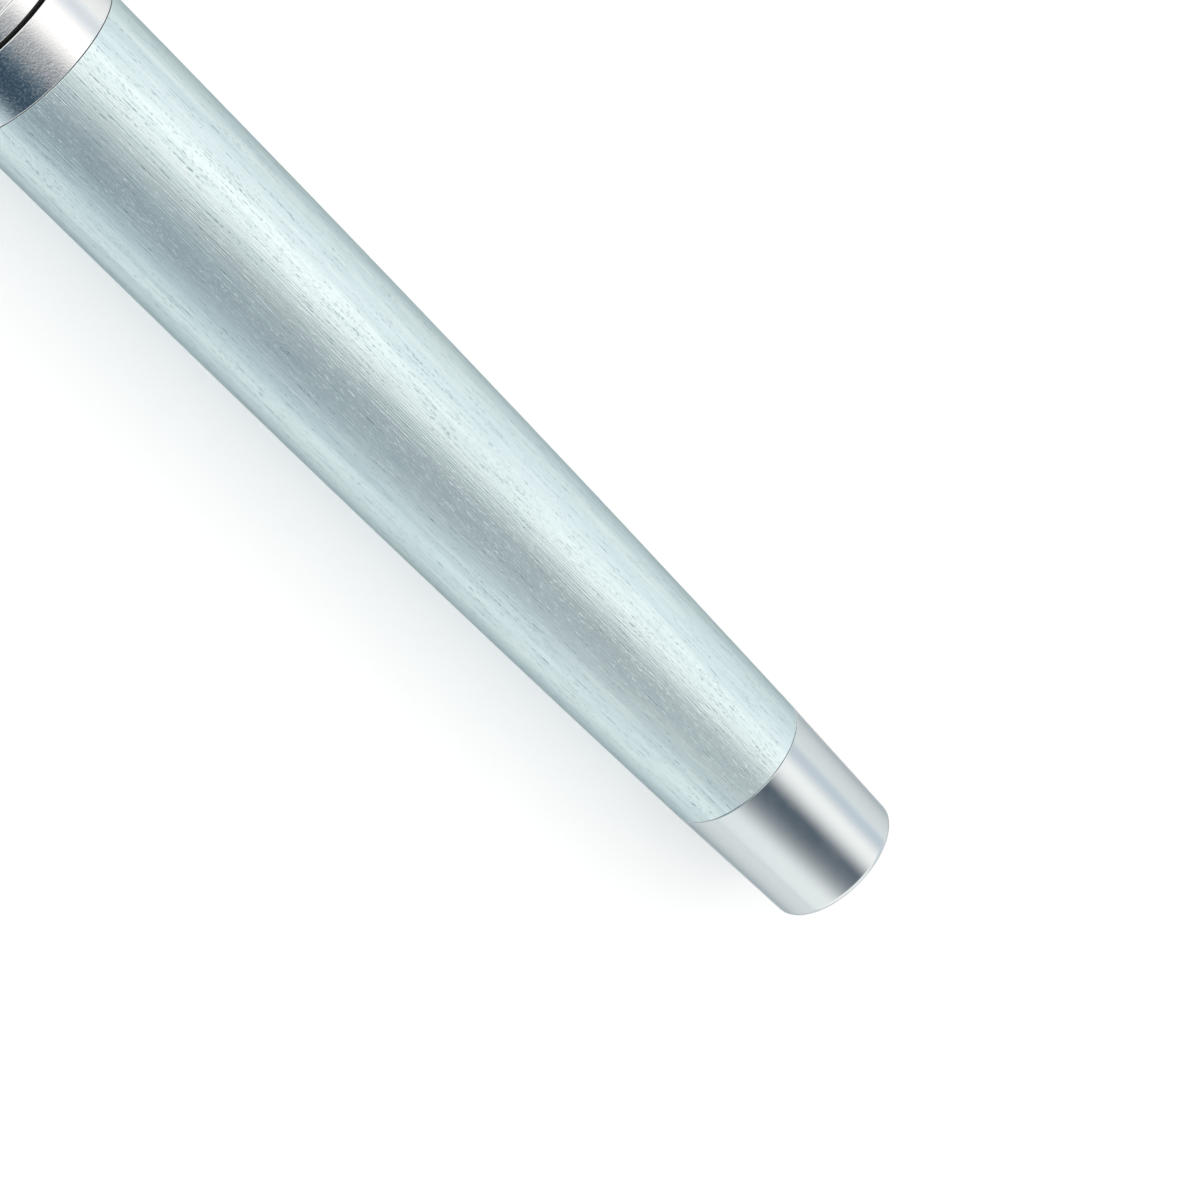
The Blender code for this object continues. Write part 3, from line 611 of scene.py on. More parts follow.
def close_and_shade(piece):
    """Makes the faces of a closed piece point outwards and shades it."""
    shape = bmesh.new()
    shape.from_mesh(piece.data)
    bmesh.ops.recalc_face_normals(shape, faces=shape.faces)
    shape.to_mesh(piece.data)
    shape.free()
    piece.data.shade_smooth()
    piece.data.set_sharp_from_angle(angle=SHARP_ANGLE)


def finished(piece, body, slot, *stands_for):
    """Hands a piece to the body that it moves with."""
    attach(piece, body)
    if stands_for:
        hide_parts(*stands_for)
    print(f"{piece.name}: {len(piece.data.polygons)} faces on {body}")


# %% [markdown]
# ## Outlines with rounded corners
#
# No real edge is perfectly sharp, and the small rounds are what catch the light. An outline is a
# short list of corners, each a place, a radius and the size of its round. A round is
# drawn as an arc between the two straight edges that it touches. One more point close beside
# each end of the arc keeps the shading of long smooth sides from bending.

# %% Outline tools
ROUND_STEPS = 5
GUARD = 0.2                 # how far the extra points stand from an arc, as a share of its round
SIDES = 160
FIT = 0.25 * MM             # gap between two pieces that fit together
FINE_ROUND = 0.05 * MM
SMALL_ROUND = 0.1 * MM
SOFT_ROUND = 0.2 * MM
MOUTH_ROUND = 0.15 * MM
END_ROUND = 0.25 * MM


def rounded(corners, closed=True):
    """Outline points for (place, radius, round) corners."""
    points = []
    count = len(corners)
    for number, (place, radius, size) in enumerate(corners):
        here = Vector((place, radius))
        if not size or (not closed and number in (0, count - 1)):
            points.append(here)
            continue
        before = Vector(corners[number - 1][:2]) - here
        after = Vector(corners[(number + 1) % count][:2]) - here
        half = 0.5 * before.angle(after)
        reach = size / math.tan(half)
        start = here + before.normalized() * reach
        end = here + after.normalized() * reach
        middle = here + (before.normalized() + after.normalized()).normalized() * (size / math.sin(half))
        points.append(start + before.normalized() * GUARD * size)
        for step in range(ROUND_STEPS + 1):
            spoke = (start - middle).slerp(end - middle, step / ROUND_STEPS)
            points.append(middle + spoke * size)
        points.append(end + after.normalized() * GUARD * size)
    return points


def tube(front, back, radius, bore, outer_round, inner_round=0.0):
    """The outline of a plain tube."""
    return [
        (front, radius, outer_round), (back, radius, outer_round),
        (back, bore, inner_round), (front, bore, inner_round),
    ]


def turned_piece(name, body, slot, stands_for, material, corners, closed=True, sides=SIDES):
    """Spins an outline of corners into a finished piece on the pen's axis."""
    mesh = bpy.data.meshes.new(name)
    points = rounded(corners, closed)
    mesh.from_pydata([(p.x, p.y, 0.0) for p in points], [(i, i + 1) for i in range(len(points) - 1)], [])
    piece = new_object(name, mesh)
    run_tree(piece, lathe, {"Sides": sides, "Closed": closed, "Axis": AXIS, "Finish": material})
    close_and_shade(piece)
    finished(piece, body, slot, stands_for)


print("outline tools ready")

# %% [markdown]
# ## Barrel
#
# The barrel is a drawn tube, swaged to a gentle taper: almost parallel at the ring, and
# leaning in faster towards the tail. One power curve gives that. Inside, the front is bored
# wider for the brass bush.

# %% Barrel shell
BARREL_LENGTH = BARREL_END - BARREL_START
TAIL_RADIUS = extent("end_cap")[2]
TAPER_POWER = 2.1
TAPER_STEPS = 40
TUBE_EDGE = 0.03 * MM
BARREL_WALL = 0.5 * MM
BUSH_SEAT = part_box("barrel_bush")[1].x + FIT
BUSH_SEAT_RADIUS = extent("barrel_bush")[2] + FIT


def barrel_radius(share):
    """Radius of the barrel at a share of its length, from the ring to the tail."""
    return BODY_RADIUS - (BODY_RADIUS - TAIL_RADIUS) * share ** TAPER_POWER


corners = [(BARREL_START, BODY_RADIUS, TUBE_EDGE)]
for step in range(1, TAPER_STEPS):
    share = step / TAPER_STEPS
    corners.append((BARREL_START + BARREL_LENGTH * share, barrel_radius(share), 0.0))
corners += [
    (BARREL_END, barrel_radius(1.0), TUBE_EDGE),
    (BARREL_END, barrel_radius(1.0) - BARREL_WALL, 0.0),
    (BUSH_SEAT, barrel_radius(1.0) - BARREL_WALL, 0.0),
    (BUSH_SEAT, BUSH_SEAT_RADIUS, 0.0),
    (BARREL_START, BUSH_SEAT_RADIUS, 0.0),
]
turned_piece("barrel_shell", "barrel", "satin_metal", "barrel_tube", brushed_aluminium, corners, sides=256)

# %% [markdown]
# ## Barrel ring, end cap and bush
#
# The ring and the end cap are turned from bar, so their flat ends meet the barrel square, and
# a hairline of shadow shows where they do. A thin lip on the ring's front covers the seal. The
# end cap's far rim is rounded by a third of a millimetre, and a spigot holds it in the barrel.

# %% Ring, end cap and bush
POLISHED_EDGE = 0.05 * MM
HAIRLINE = 0.04 * MM
RING_LIP = 0.2 * MM
RING_LIP_RADIUS = BODY_RADIUS - 0.35 * MM
RING_WALL = 0.9 * MM
BUSH_WALL = 0.6 * MM
END_CAP_ROUND = 0.35 * MM
SPIGOT_RADIUS = barrel_radius(1.0) - BARREL_WALL - FIT
END_CAP_WALL = 1.0 * MM
END_CAP_TAPER = 0.37 * MM

ring_bore = BODY_RADIUS - RING_WALL
turned_piece("barrel_front_ring", "barrel", "polished_metal", "barrel_ring", pebbled_chrome, [
    (RING_START - RING_LIP, BODY_RADIUS, POLISHED_EDGE),
    (BARREL_START - HAIRLINE, BODY_RADIUS, POLISHED_EDGE),
    (BARREL_START - HAIRLINE, ring_bore, 0.0),
    (RING_START, ring_bore, 0.0),
    (RING_START, RING_LIP_RADIUS, 0.0),
    (RING_START - RING_LIP, RING_LIP_RADIUS, 0.0),
])

cap_start = BARREL_END + HAIRLINE
spigot_front, tail, _ = extent("end_cap")
bore_radius = SPIGOT_RADIUS - END_CAP_WALL
turned_piece("end_cap_shell", "barrel", "polished_metal", "end_cap", polished_chrome, [
    (tail - 2.0 * END_CAP_WALL, 0.0, 0.0),
    (tail - 2.0 * END_CAP_WALL, bore_radius, SOFT_ROUND),
    (spigot_front, bore_radius, SMALL_ROUND),
    (spigot_front, SPIGOT_RADIUS, SMALL_ROUND),
    (cap_start, SPIGOT_RADIUS, 0.0),
    (cap_start, barrel_radius(1.0), POLISHED_EDGE),
    (tail, barrel_radius(1.0) - END_CAP_TAPER, END_CAP_ROUND),
    (tail, 0.0, 0.0),
], closed=False)

bush_front, bush_back, bush_radius = extent("barrel_bush")
bush_bore = bush_radius - BUSH_WALL
turned_piece("threaded_bush", "barrel", "brass", "barrel_bush", turned_brass, [
    (bush_front, bush_radius, SMALL_ROUND),
    (bush_back, bush_radius, SMALL_ROUND),
    (bush_back, bush_bore, SMALL_ROUND),
    (bush_front, bush_bore, MOUTH_ROUND),
])

# %% [markdown]
# ## Cap tube, lip ring and top
#
# The cap is a straight tube between two polished pieces. The lip ring has one fine groove turned
# in it, a third of a millimetre wide, which reads as a dark line. The top is a short
# solid piece, tapped from below for the screw that holds the cap together.

# %% Cap shells
CAP_WALL = 0.5 * MM
GROOVE_AT = 1.2 * MM
GROOVE_WIDTH = 0.3 * MM
GROOVE_DEPTH = 0.15 * MM
TOP_ROUND = 0.6 * MM
TOP_TAPER = 0.35 * MM
TAPPED_RADIUS = 1.25 * MM
TAPPED_DEPTH = 4.75 * MM

cap_bore = BODY_RADIUS - CAP_WALL
tube_front, tube_back, _ = extent("cap_tube")
turned_piece(
    "cap_shell", "cap", "satin_metal", "cap_tube", brushed_aluminium,
    tube(tube_front, tube_back, BODY_RADIUS, cap_bore, TUBE_EDGE), sides=256,
)

groove_back = LIP_BACK - GROOVE_AT
groove_front = groove_back - GROOVE_WIDTH
turned_piece("cap_lip", "cap", "polished_metal", "cap_lip_ring", pebbled_chrome, [
    (LIP_FRONT, cap_bore, 0.0),
    (LIP_FRONT, BODY_RADIUS, POLISHED_EDGE),
    (groove_front, BODY_RADIUS, FINE_ROUND),
    (groove_front, BODY_RADIUS - GROOVE_DEPTH, FINE_ROUND),
    (groove_back, BODY_RADIUS - GROOVE_DEPTH, FINE_ROUND),
    (groove_back, BODY_RADIUS, FINE_ROUND),
    (LIP_BACK, BODY_RADIUS, POLISHED_EDGE),
    (LIP_BACK, cap_bore, POLISHED_EDGE),
])

top_face, top_base, _ = extent("cap_finial")
turned_piece("cap_top", "cap", "polished_metal", "cap_finial", polished_chrome, [
    (top_base - TAPPED_DEPTH, 0.0, 0.0),
    (top_base - TAPPED_DEPTH, TAPPED_RADIUS, 0.0),
    (top_base, TAPPED_RADIUS, SMALL_ROUND),
    (top_base, BODY_RADIUS, POLISHED_EDGE),
    (top_face, BODY_RADIUS - TOP_TAPER, TOP_ROUND),
    (top_face, 0.0, 0.0),
], closed=False)

# %% [markdown]
# ## Clip
#
# The clip is a strip of spring steel, pressed to a shallow bow and plated. It leaves the cap
# through the gap under the top, bends forward, and touches the cap near its tip, where it
# turns up so that cloth slides under it. The strip is lofted: a rounded section travels along
# a smooth line and narrows towards the tip. The bend belongs to the clamped ring, and the arm
# begins just after it, because the arm springs and the ring doesn't.

# %% Clip strip
CLIP_THICKNESS = 0.8 * MM
CLIP_ROOT_HALF = 1.8 * MM
CLIP_TIP_HALF = 1.3 * MM
CLIP_TIP_ROUND = 1.2 * MM
CLIP_CROWN = 0.10 * MM
TIP_SHARE = 0.94            # where the cross-sections begin to stand closer for the round tip
ARM_STEPS = 70
TIP_STEPS = 14
LEAST_TIP = 0.01
CLAMPED_LENGTH = 1.0 * MM
SECTION_POINTS = 28
SQUARENESS = 0.35
# share of the clip's length, gap between its underside and the cap
CLIP_LINE = ((0.0, 1.15), (0.15, 1.5), (0.5, 1.2), (0.8, 0.6), (0.92, 0.15), (1.0, 0.75))

hinge = next(joint for joint in frame["joints"] if joint["name"] == "clip_flex")
out = Vector(hinge["axis"]).cross(Vector((1.0, 0.0, 0.0))).normalized()
across = Vector((1.0, 0.0, 0.0)).cross(out)
arm_start, arm_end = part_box("clip_arm")[0].x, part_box("clip_arm")[1].x
print("the clip points", [round(c, 3) for c in out])


def smooth_value(line, share):
    """Reads a smooth curve through (share, value) points."""
    last = len(line) - 1
    number = min(max(i for i in range(last) if line[i][0] <= share or i == 0), last - 1)
    (start, low), (end, high) = line[number], line[number + 1]
    before, after = line[max(number - 1, 0)], line[min(number + 2, last)]
    first = (high - before[1]) / (end - before[0])
    second = (after[1] - low) / (after[0] - start)
    span = end - start
    t = (share - start) / span
    return (
        (2 * t ** 3 - 3 * t ** 2 + 1) * low + (t ** 3 - 2 * t ** 2 + t) * span * first
        + (3 * t ** 2 - 2 * t ** 3) * high + (t ** 3 - t ** 2) * span * second
    )


def loft_strip(name, body, stations, *stands_for):
    """A strip through (place, height, half width, thickness, lean) stations, closed at both ends."""
    shape = bmesh.new()
    loops = []
    for place, level, half, thick, lean in stations:
        loop = []
        for number in range(SECTION_POINTS):
            angle = 2.0 * math.pi * number / SECTION_POINTS
            side = math.copysign(abs(math.cos(angle)) ** SQUARENESS, math.cos(angle))
            rise = math.copysign(abs(math.sin(angle)) ** SQUARENESS, math.sin(angle))
            crown = CLIP_CROWN * (1.0 - side * side) * (rise > 0.0)
            up = 0.5 * thick * rise + crown
            spot = Vector((place - up * math.sin(lean), 0.0, 0.0)) + AXIS
            spot += out * (level + up * math.cos(lean)) + across * (half * side)
            loop.append(shape.verts.new(spot))
        loops.append(loop)
    for first, second in zip(loops, loops[1:]):
        for number in range(SECTION_POINTS):
            after = (number + 1) % SECTION_POINTS
            shape.faces.new((first[number], first[after], second[after], second[number]))
    shape.faces.new(loops[0])
    shape.faces.new(loops[-1])
    mesh = bpy.data.meshes.new(name)
    shape.to_mesh(mesh)
    shape.free()
    mesh.materials.append(polished_chrome)
    piece = new_object(name, mesh)
    close_and_shade(piece)
    finished(piece, body, "polished_metal", *stands_for)


def arm_stations():
    length = arm_end - arm_start
    shares = [TIP_SHARE * step / ARM_STEPS for step in range(ARM_STEPS)]
    shares += [
        TIP_SHARE + (1.0 - TIP_SHARE) * math.sin(0.5 * math.pi * step / TIP_STEPS)
        for step in range(TIP_STEPS + 1)
    ]
    stations = []
    for share in shares:
        level = BODY_RADIUS + smooth_value(CLIP_LINE, share) * MM + 0.5 * CLIP_THICKNESS
        half = CLIP_ROOT_HALF + (CLIP_TIP_HALF - CLIP_ROOT_HALF) * share
        left = (1.0 - share) * length
        if left < CLIP_TIP_ROUND:
            half *= math.sqrt(max(1.0 - (1.0 - left / CLIP_TIP_ROUND) ** 2, LEAST_TIP))
        stations.append((arm_start + share * length, level, half, CLIP_THICKNESS, 0.0))
    return stations


loft_strip("clip_spring_arm", "clip", arm_stations(), "clip_arm")

# %% [markdown]
# The strip starts as a flat ring clamped under the cap's top. Between ring and arm it turns a
# quarter circle, which the same loft makes: each cross-section is leaned a little further.

# %% Clip ring and its bend
BEND_STEPS = 14
BEND_GAP = 0.08 * MM

ring_top, ring_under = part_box("clip_ring")[0].x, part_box("clip_ring")[1].x
turned_piece(
    "clip_clamp_ring", "cap", "polished_metal", "clip_ring", polished_chrome,
    tube(ring_top, ring_under, BODY_RADIUS - FIT, TAPPED_RADIUS, SMALL_ROUND),
)

middle = 0.5 * (ring_top + ring_under)
root_level = BODY_RADIUS + CLIP_LINE[0][1] * MM + 0.5 * CLIP_THICKNESS
bend_radius = arm_start - BEND_GAP - middle
thick = ring_under - ring_top
stations = [(middle, BODY_RADIUS - CLAMPED_LENGTH, CLIP_ROOT_HALF, thick, 0.5 * math.pi)]
for step in range(BEND_STEPS + 1):
    angle = 0.5 * math.pi * step / BEND_STEPS
    stations.append((
        middle + bend_radius * (1.0 - math.cos(angle)),
        root_level - bend_radius * (1.0 - math.sin(angle)),
        CLIP_ROOT_HALF, thick + (CLIP_THICKNESS - thick) * step / BEND_STEPS, 0.5 * math.pi - angle,
    ))
loft_strip("clip_bend", "cap", stations)

# %% [markdown]
# ## Grip section and its thread
#
# The section is moulded in black plastic. Its grip is waisted and carries shallow rings for
# the fingers; behind them is the smooth shoulder that the cap snaps on, and then the thread that
# screws into the barrel.

# %% Grip section
GRIP_RINGS = 7
GRIP_RING_PITCH = 1.5 * MM
GRIP_RING_WIDTH = 0.55 * MM
GRIP_RING_DEPTH = 0.14 * MM
GRIP_RING_START = 6.0 * MM
SNAP_LENGTH = 8.0 * MM
SHANK_BORE = 2.95 * MM
REAR_BORE = 3.4 * MM
THREAD_RADIUS = 4.0 * MM
THREAD_HEIGHT = 0.22 * MM
THREAD_ROOT = THREAD_RADIUS - THREAD_HEIGHT
NECK_LENGTH = 0.2 * MM
NECK_SLOPE = 0.3 * MM
SNAP_GROOVE_DEPTH = 0.12 * MM
GRIP_RING_SLOPE = 0.12 * MM
GRIP_RING_ROUND = 0.06 * MM
GRIP_END = 0.4 * MM
SNAP_RADIUS = 4.6 * MM
GRIP_RADIUS = 4.25 * MM
GRIP_NARROWING = 0.4 * MM
GRIP_STEPS = 12

section_front, section_back, _ = extent("grip_section")
shank_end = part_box("nib_body")[1].x
grip_start = LIP_BACK - SNAP_LENGTH - (SNAP_RADIUS - GRIP_RADIUS)


def grip_radius(place):
    share = (grip_start - place) / (grip_start - section_front)
    return GRIP_RADIUS - GRIP_NARROWING * math.sin(0.5 * math.pi * share)


corners = [
    (section_back, THREAD_RADIUS - FIT, SMALL_ROUND),
    (section_back - NECK_SLOPE, THREAD_ROOT, 0.0),
    (LIP_BACK + NECK_LENGTH + NECK_SLOPE, THREAD_ROOT, 0.0),
    (LIP_BACK + NECK_LENGTH, THREAD_RADIUS, 0.0),
    (LIP_BACK, THREAD_RADIUS, 0.0),
    (LIP_BACK, SNAP_RADIUS, MOUTH_ROUND),
    (LIP_BACK - 0.85 * SNAP_LENGTH, SNAP_RADIUS, SMALL_ROUND),
    (LIP_BACK - 0.88 * SNAP_LENGTH, SNAP_RADIUS - SNAP_GROOVE_DEPTH, 0.0),
    (LIP_BACK - 0.94 * SNAP_LENGTH, SNAP_RADIUS - SNAP_GROOVE_DEPTH, 0.0),
    (LIP_BACK - 0.97 * SNAP_LENGTH, SNAP_RADIUS, FINE_ROUND),
    (LIP_BACK - SNAP_LENGTH, SNAP_RADIUS, SMALL_ROUND),
    (grip_start, GRIP_RADIUS, SMALL_ROUND),
]
ring_end = grip_start - GRIP_RING_START
for number in range(GRIP_RINGS):
    here = ring_end - number * GRIP_RING_PITCH
    there = here - GRIP_RING_WIDTH
    corners += [
        (here, grip_radius(here), GRIP_RING_ROUND),
        (here - GRIP_RING_SLOPE, grip_radius(here) - GRIP_RING_DEPTH, FINE_ROUND),
        (there + GRIP_RING_SLOPE, grip_radius(there) - GRIP_RING_DEPTH, FINE_ROUND),
        (there, grip_radius(there), GRIP_RING_ROUND),
    ]
rest_start = ring_end - GRIP_RINGS * GRIP_RING_PITCH
for step in range(GRIP_STEPS):
    here = rest_start + (section_front + GRIP_END - rest_start) * step / GRIP_STEPS
    corners.append((here, grip_radius(here), 0.0))
corners += [
    (section_front, grip_radius(section_front), END_ROUND),
    (section_front, SHANK_BORE, FINE_ROUND),
    (shank_end, SHANK_BORE, 0.0),
    (shank_end, REAR_BORE, 0.0),
    (section_back, REAR_BORE, FINE_ROUND),
]
turned_piece("grip_body", "section", "black_plastic", "grip_section", black_abs, corners)

seal_front, seal_back, seal_radius = extent("section_seal")
turned_piece(
    "sealing_ring", "section", "black_rubber", "section_seal", nitrile,
    tube(seal_front, seal_back, seal_radius, THREAD_RADIUS + FIT, MOUTH_ROUND),
)

# %% [markdown]
# ## Threads made of nodes
#
# A thread is a small ridge carried round the pen on a helix. The tree makes a grid whose rows are
# the ridge's outline and whose columns are steps along the helix, as a chaser on a
# lathe would cut it. Near both ends the ridge fades to a point, the way a real thread runs out, and
# that also closes the mesh.

# %% The thread tree
RIDGE_SUNK = 0.03 * MM
FADE_TURNS = 0.5            # turns over which a thread runs out
TURN_STEPS = 48

thread, given = new_tree(
    "cut_thread", Outline="Geometry", Start="Float", Pitch="Float", Turns="Float", Radius="Float",
    Fade="Float", Steps="Int", Axis="Vector", Finish="Material",
)
grid, column, ridge = lay_out(thread, given["Outline"], given["Steps"], 1.0)
share = add_node(thread, "ShaderNodeMath", {0: column, 1: given["Steps"]}, operation="DIVIDE").outputs[0]
turned = add_node(thread, "ShaderNodeMath", {0: share, 1: given["Turns"]}, operation="MULTIPLY").outputs[0]
left = add_node(thread, "ShaderNodeMath", {0: given["Turns"], 1: turned}, operation="SUBTRACT").outputs[0]
to_end = add_node(thread, "ShaderNodeMath", {0: turned, 1: left}, operation="MINIMUM").outputs[0]
kept = add_node(thread, "ShaderNodeMath", {
    0: to_end, 1: given["Fade"],
}, operation="DIVIDE", use_clamp=True).outputs[0]
along = add_node(thread, "ShaderNodeMath", {
    0: turned, 1: given["Pitch"], 2: given["Start"],
}, operation="MULTIPLY_ADD").outputs[0]
place = add_node(thread, "ShaderNodeMath", {
    0: ridge["X"], 1: kept, 2: along,
}, operation="MULTIPLY_ADD").outputs[0]
radius = add_node(thread, "ShaderNodeMath", {
    0: ridge["Y"], 1: kept, 2: given["Radius"],
}, operation="MULTIPLY_ADD").outputs[0]
rolled = roll_up(thread, grid, place, radius, turned, given["Axis"])
end_tree(thread, rolled, given["Finish"])


def ridge_outline(foot_half, crest_half, height):
    """The outline of a ridge, with its foot sunk a little into the piece."""
    return [(-foot_half, -RIDGE_SUNK), (-crest_half, height), (crest_half, height), (foot_half, -RIDGE_SUNK)]


def threaded_piece(name, body, material, ridge, start, pitch, turns, radius):
    """Carries a ridge outline round the pen."""
    mesh = bpy.data.meshes.new(name)
    mesh.from_pydata([(place, height, 0.0) for place, height in ridge], [(0, 1)], [])
    piece = new_object(name, mesh)
    run_tree(piece, thread, {
        "Start": start, "Pitch": pitch, "Turns": turns, "Radius": radius, "Fade": FADE_TURNS,
        "Steps": int(TURN_STEPS * turns), "Axis": AXIS, "Finish": material,
    })
    close_and_shade(piece)
    finished(piece, body, "black_plastic")


print("thread tree with", len(thread.nodes), "nodes")

# %% [markdown]
# Two pieces use the tree. The section has a fine thread for the barrel's bush, and the breather
# is a sleeve with a square fin wound round it: the groove between its turns holds the ink that
# warmth drives out of the cartridge.

# %% Section thread and breather spiral
THREAD_PITCH = 0.75 * MM
THREAD_HALF = 0.3 * MM
THREAD_CREST_HALF = 0.06 * MM
THREAD_MARGIN = 0.6 * MM
FIN_PITCH = 1.0 * MM
FIN_HALF = 0.22 * MM
FIN_HEIGHT = 0.35 * MM
SPIRAL_ROOT = 3.65 * MM
SPIRAL_BORE = 3.4 * MM

thread_start = LIP_BACK + 2.0 * THREAD_MARGIN
thread_turns = (section_back - THREAD_MARGIN - thread_start) / THREAD_PITCH
threaded_piece(
    "section_thread", "section", black_abs, ridge_outline(THREAD_HALF, THREAD_CREST_HALF, THREAD_HEIGHT),
    thread_start, THREAD_PITCH, thread_turns, THREAD_ROOT,
)

spiral_start, spiral_end, _ = extent("breather_spiral")
turned_piece(
    "breather_sleeve", "cartridge", "black_plastic", "breather_spiral", black_acetal,
    tube(spiral_start, spiral_end, SPIRAL_ROOT, SPIRAL_BORE, FINE_ROUND),
)
fin_turns = (spiral_end - spiral_start - 2.0 * FIN_PITCH) / FIN_PITCH
threaded_piece(
    "breather_fins", "cartridge", black_acetal, ridge_outline(FIN_HALF, 0.8 * FIN_HALF, FIN_HEIGHT),
    spiral_start + FIN_PITCH, FIN_PITCH, fin_turns, SPIRAL_ROOT,
)

# %% [markdown]
# ## Drawing point
#
# The point is what makes this a technical pen. A fine steel tube, stiffened by a sleeve, stands out
# of a plastic cone; a wire runs through the tube and is fixed to a weight, which clears the
# tube when the pen is shaken. Behind the cone is a ribbed collar to unscrew it by, and a
# coloured ring that shows the width of its line.

# %% Cone, collar and ring
CONE_LENGTH = 6.0 * MM
COLLAR_LENGTH = 2.0 * MM
COLLAR_STEP = 0.5 * MM
SWELL_AT, SWELL = 2.2 * MM, 0.45 * MM
SWELL_ROUND = 0.4 * MM
WIDTH_RING_ROUND = 0.12 * MM
CHAMBER_AT, FEED_AT = 3.9 * MM, 2.25 * MM
CONE_FRONT_RADIUS = 1.5 * MM
SLEEVE_SEAT = 1.0 * MM
FEED_RADIUS = 0.6 * MM
CHAMBER_RADIUS = 1.9 * MM
SHANK_RADIUS = 2.7 * MM

cone_tip, shank_back, _ = extent("nib_body")
collar_radius = 0.5 * (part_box("nib_body")[1].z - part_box("nib_body")[0].z) / math.cos(math.pi / 24)
collar_front = cone_tip + CONE_LENGTH
collar_back = collar_front + COLLAR_LENGTH
cone_back = collar_radius - COLLAR_STEP
turned_piece("point_body", "nib", "grey_plastic", "nib_body", grey_polyester, [
    (cone_tip, SLEEVE_SEAT, FINE_ROUND),
    (cone_tip, CONE_FRONT_RADIUS, SOFT_ROUND),
    (cone_tip + SWELL_AT, CONE_FRONT_RADIUS + SWELL, SWELL_ROUND),
    (collar_front, cone_back, MOUTH_ROUND),
    (collar_front, collar_radius, SOFT_ROUND),
    (collar_back, collar_radius, SMALL_ROUND),
    (collar_back, SHANK_RADIUS, 0.0),
    (shank_back, SHANK_RADIUS, SMALL_ROUND),
    (shank_back, CHAMBER_RADIUS, 0.0),
    (cone_tip + CHAMBER_AT, CHAMBER_RADIUS, 0.0),
    (cone_tip + CHAMBER_AT, FEED_RADIUS, 0.0),
    (cone_tip + FEED_AT, FEED_RADIUS, 0.0),
    (cone_tip + FEED_AT, SLEEVE_SEAT, 0.0),
])

ring_front, ring_back, _ = extent("colour_ring")
turned_piece(
    "line_width_ring", "nib_collar", "colour_plastic", "colour_ring", blue_abs,
    tube(ring_front, ring_back, collar_radius, SHANK_BORE, WIDTH_RING_ROUND),
)

# %% [markdown]
# The ribs on the collar are all alike, so nodes place them: one rounded bar, copied to the
# points of a circle and turned to face outwards.

# %% Collar ribs
RIB_COUNT = 30
RIB_WIDTH = 0.36 * MM
RIB_LENGTH = 1.5 * MM
RIB_HEIGHT = 0.26 * MM
RIB_ROUND = 0.1 * MM

rib_tree, given = new_tree(
    "ribs_round_collar", Rib="Geometry", Count="Int", Radius="Float", Centre="Vector", Finish="Material",
)
circle = add_node(rib_tree, "GeometryNodeMeshCircle", {
    "Vertices": given["Count"], "Radius": given["Radius"],
}).outputs[0]
number = add_node(rib_tree, "GeometryNodeInputIndex").outputs[0]
share = add_node(rib_tree, "ShaderNodeMath", {0: number, 1: given["Count"]}, operation="DIVIDE").outputs[0]
angle = add_node(rib_tree, "ShaderNodeMath", {0: share, 1: 2.0 * math.pi}, operation="MULTIPLY").outputs[0]
facing = add_node(rib_tree, "ShaderNodeCombineXYZ", {"Z": angle}).outputs[0]
copies = add_node(rib_tree, "GeometryNodeInstanceOnPoints", {
    "Points": circle, "Instance": given["Rib"], "Rotation": facing,
}).outputs[0]
stood = add_node(rib_tree, "GeometryNodeTransform", {
    "Geometry": copies, "Rotation": (0.0, 0.5 * math.pi, 0.0), "Translation": given["Centre"],
}).outputs[0]
end_tree(rib_tree, stood, given["Finish"])

rib_shape = bmesh.new()
bmesh.ops.create_cube(rib_shape, size=1.0)
bmesh.ops.scale(rib_shape, vec=(RIB_HEIGHT, RIB_WIDTH, RIB_LENGTH), verts=rib_shape.verts)
bmesh.ops.bevel(rib_shape, geom=rib_shape.edges[:], offset=RIB_ROUND, segments=2, affect="EDGES")
rib_mesh = bpy.data.meshes.new("collar_ribs")
rib_shape.to_mesh(rib_mesh)
rib_shape.free()
ribs = new_object("collar_ribs", rib_mesh)
run_tree(ribs, rib_tree, {
    "Count": RIB_COUNT, "Radius": collar_radius,
    "Centre": Vector((0.5 * (collar_front + collar_back), AXIS.y, AXIS.z)), "Finish": grey_polyester,
})
close_and_shade(ribs)
finished(ribs, "nib", "grey_plastic")

# %% [markdown]
# ## Steel point
#
# The tube draws a line as wide as itself, so its end is cut square with hardly any round. The
# sleeve round it is chamfered, so that it clears a ruler's edge.

# %% Tube, sleeve, wire and weight
TUBE_RADIUS = 0.35 * MM
TUBE_BORE = 0.2 * MM
WIRE_RADIUS = 0.1 * MM
WIRE_ROUND = 0.02 * MM
SLEEVE_HOLE = 0.5 * MM
SLEEVE_TIP = 0.6 * MM
POINT_SLEEVE_RADIUS = 0.8 * MM
CHAMFER_LENGTH = 0.35 * MM
WIRE_SEAT_DEPTH = 3.0 * MM

sleeve_front, sleeve_back, _ = extent("point_sleeve")
turned_piece("stiffening_sleeve", "nib", "stainless_steel", "point_sleeve", stainless, [
    (sleeve_front, SLEEVE_HOLE, 0.0),
    (sleeve_front, SLEEVE_TIP, FINE_ROUND),
    (sleeve_front + CHAMFER_LENGTH, POINT_SLEEVE_RADIUS, SMALL_ROUND),
    (sleeve_back, POINT_SLEEVE_RADIUS, SMALL_ROUND),
    (sleeve_back, SLEEVE_HOLE, 0.0),
], sides=64)

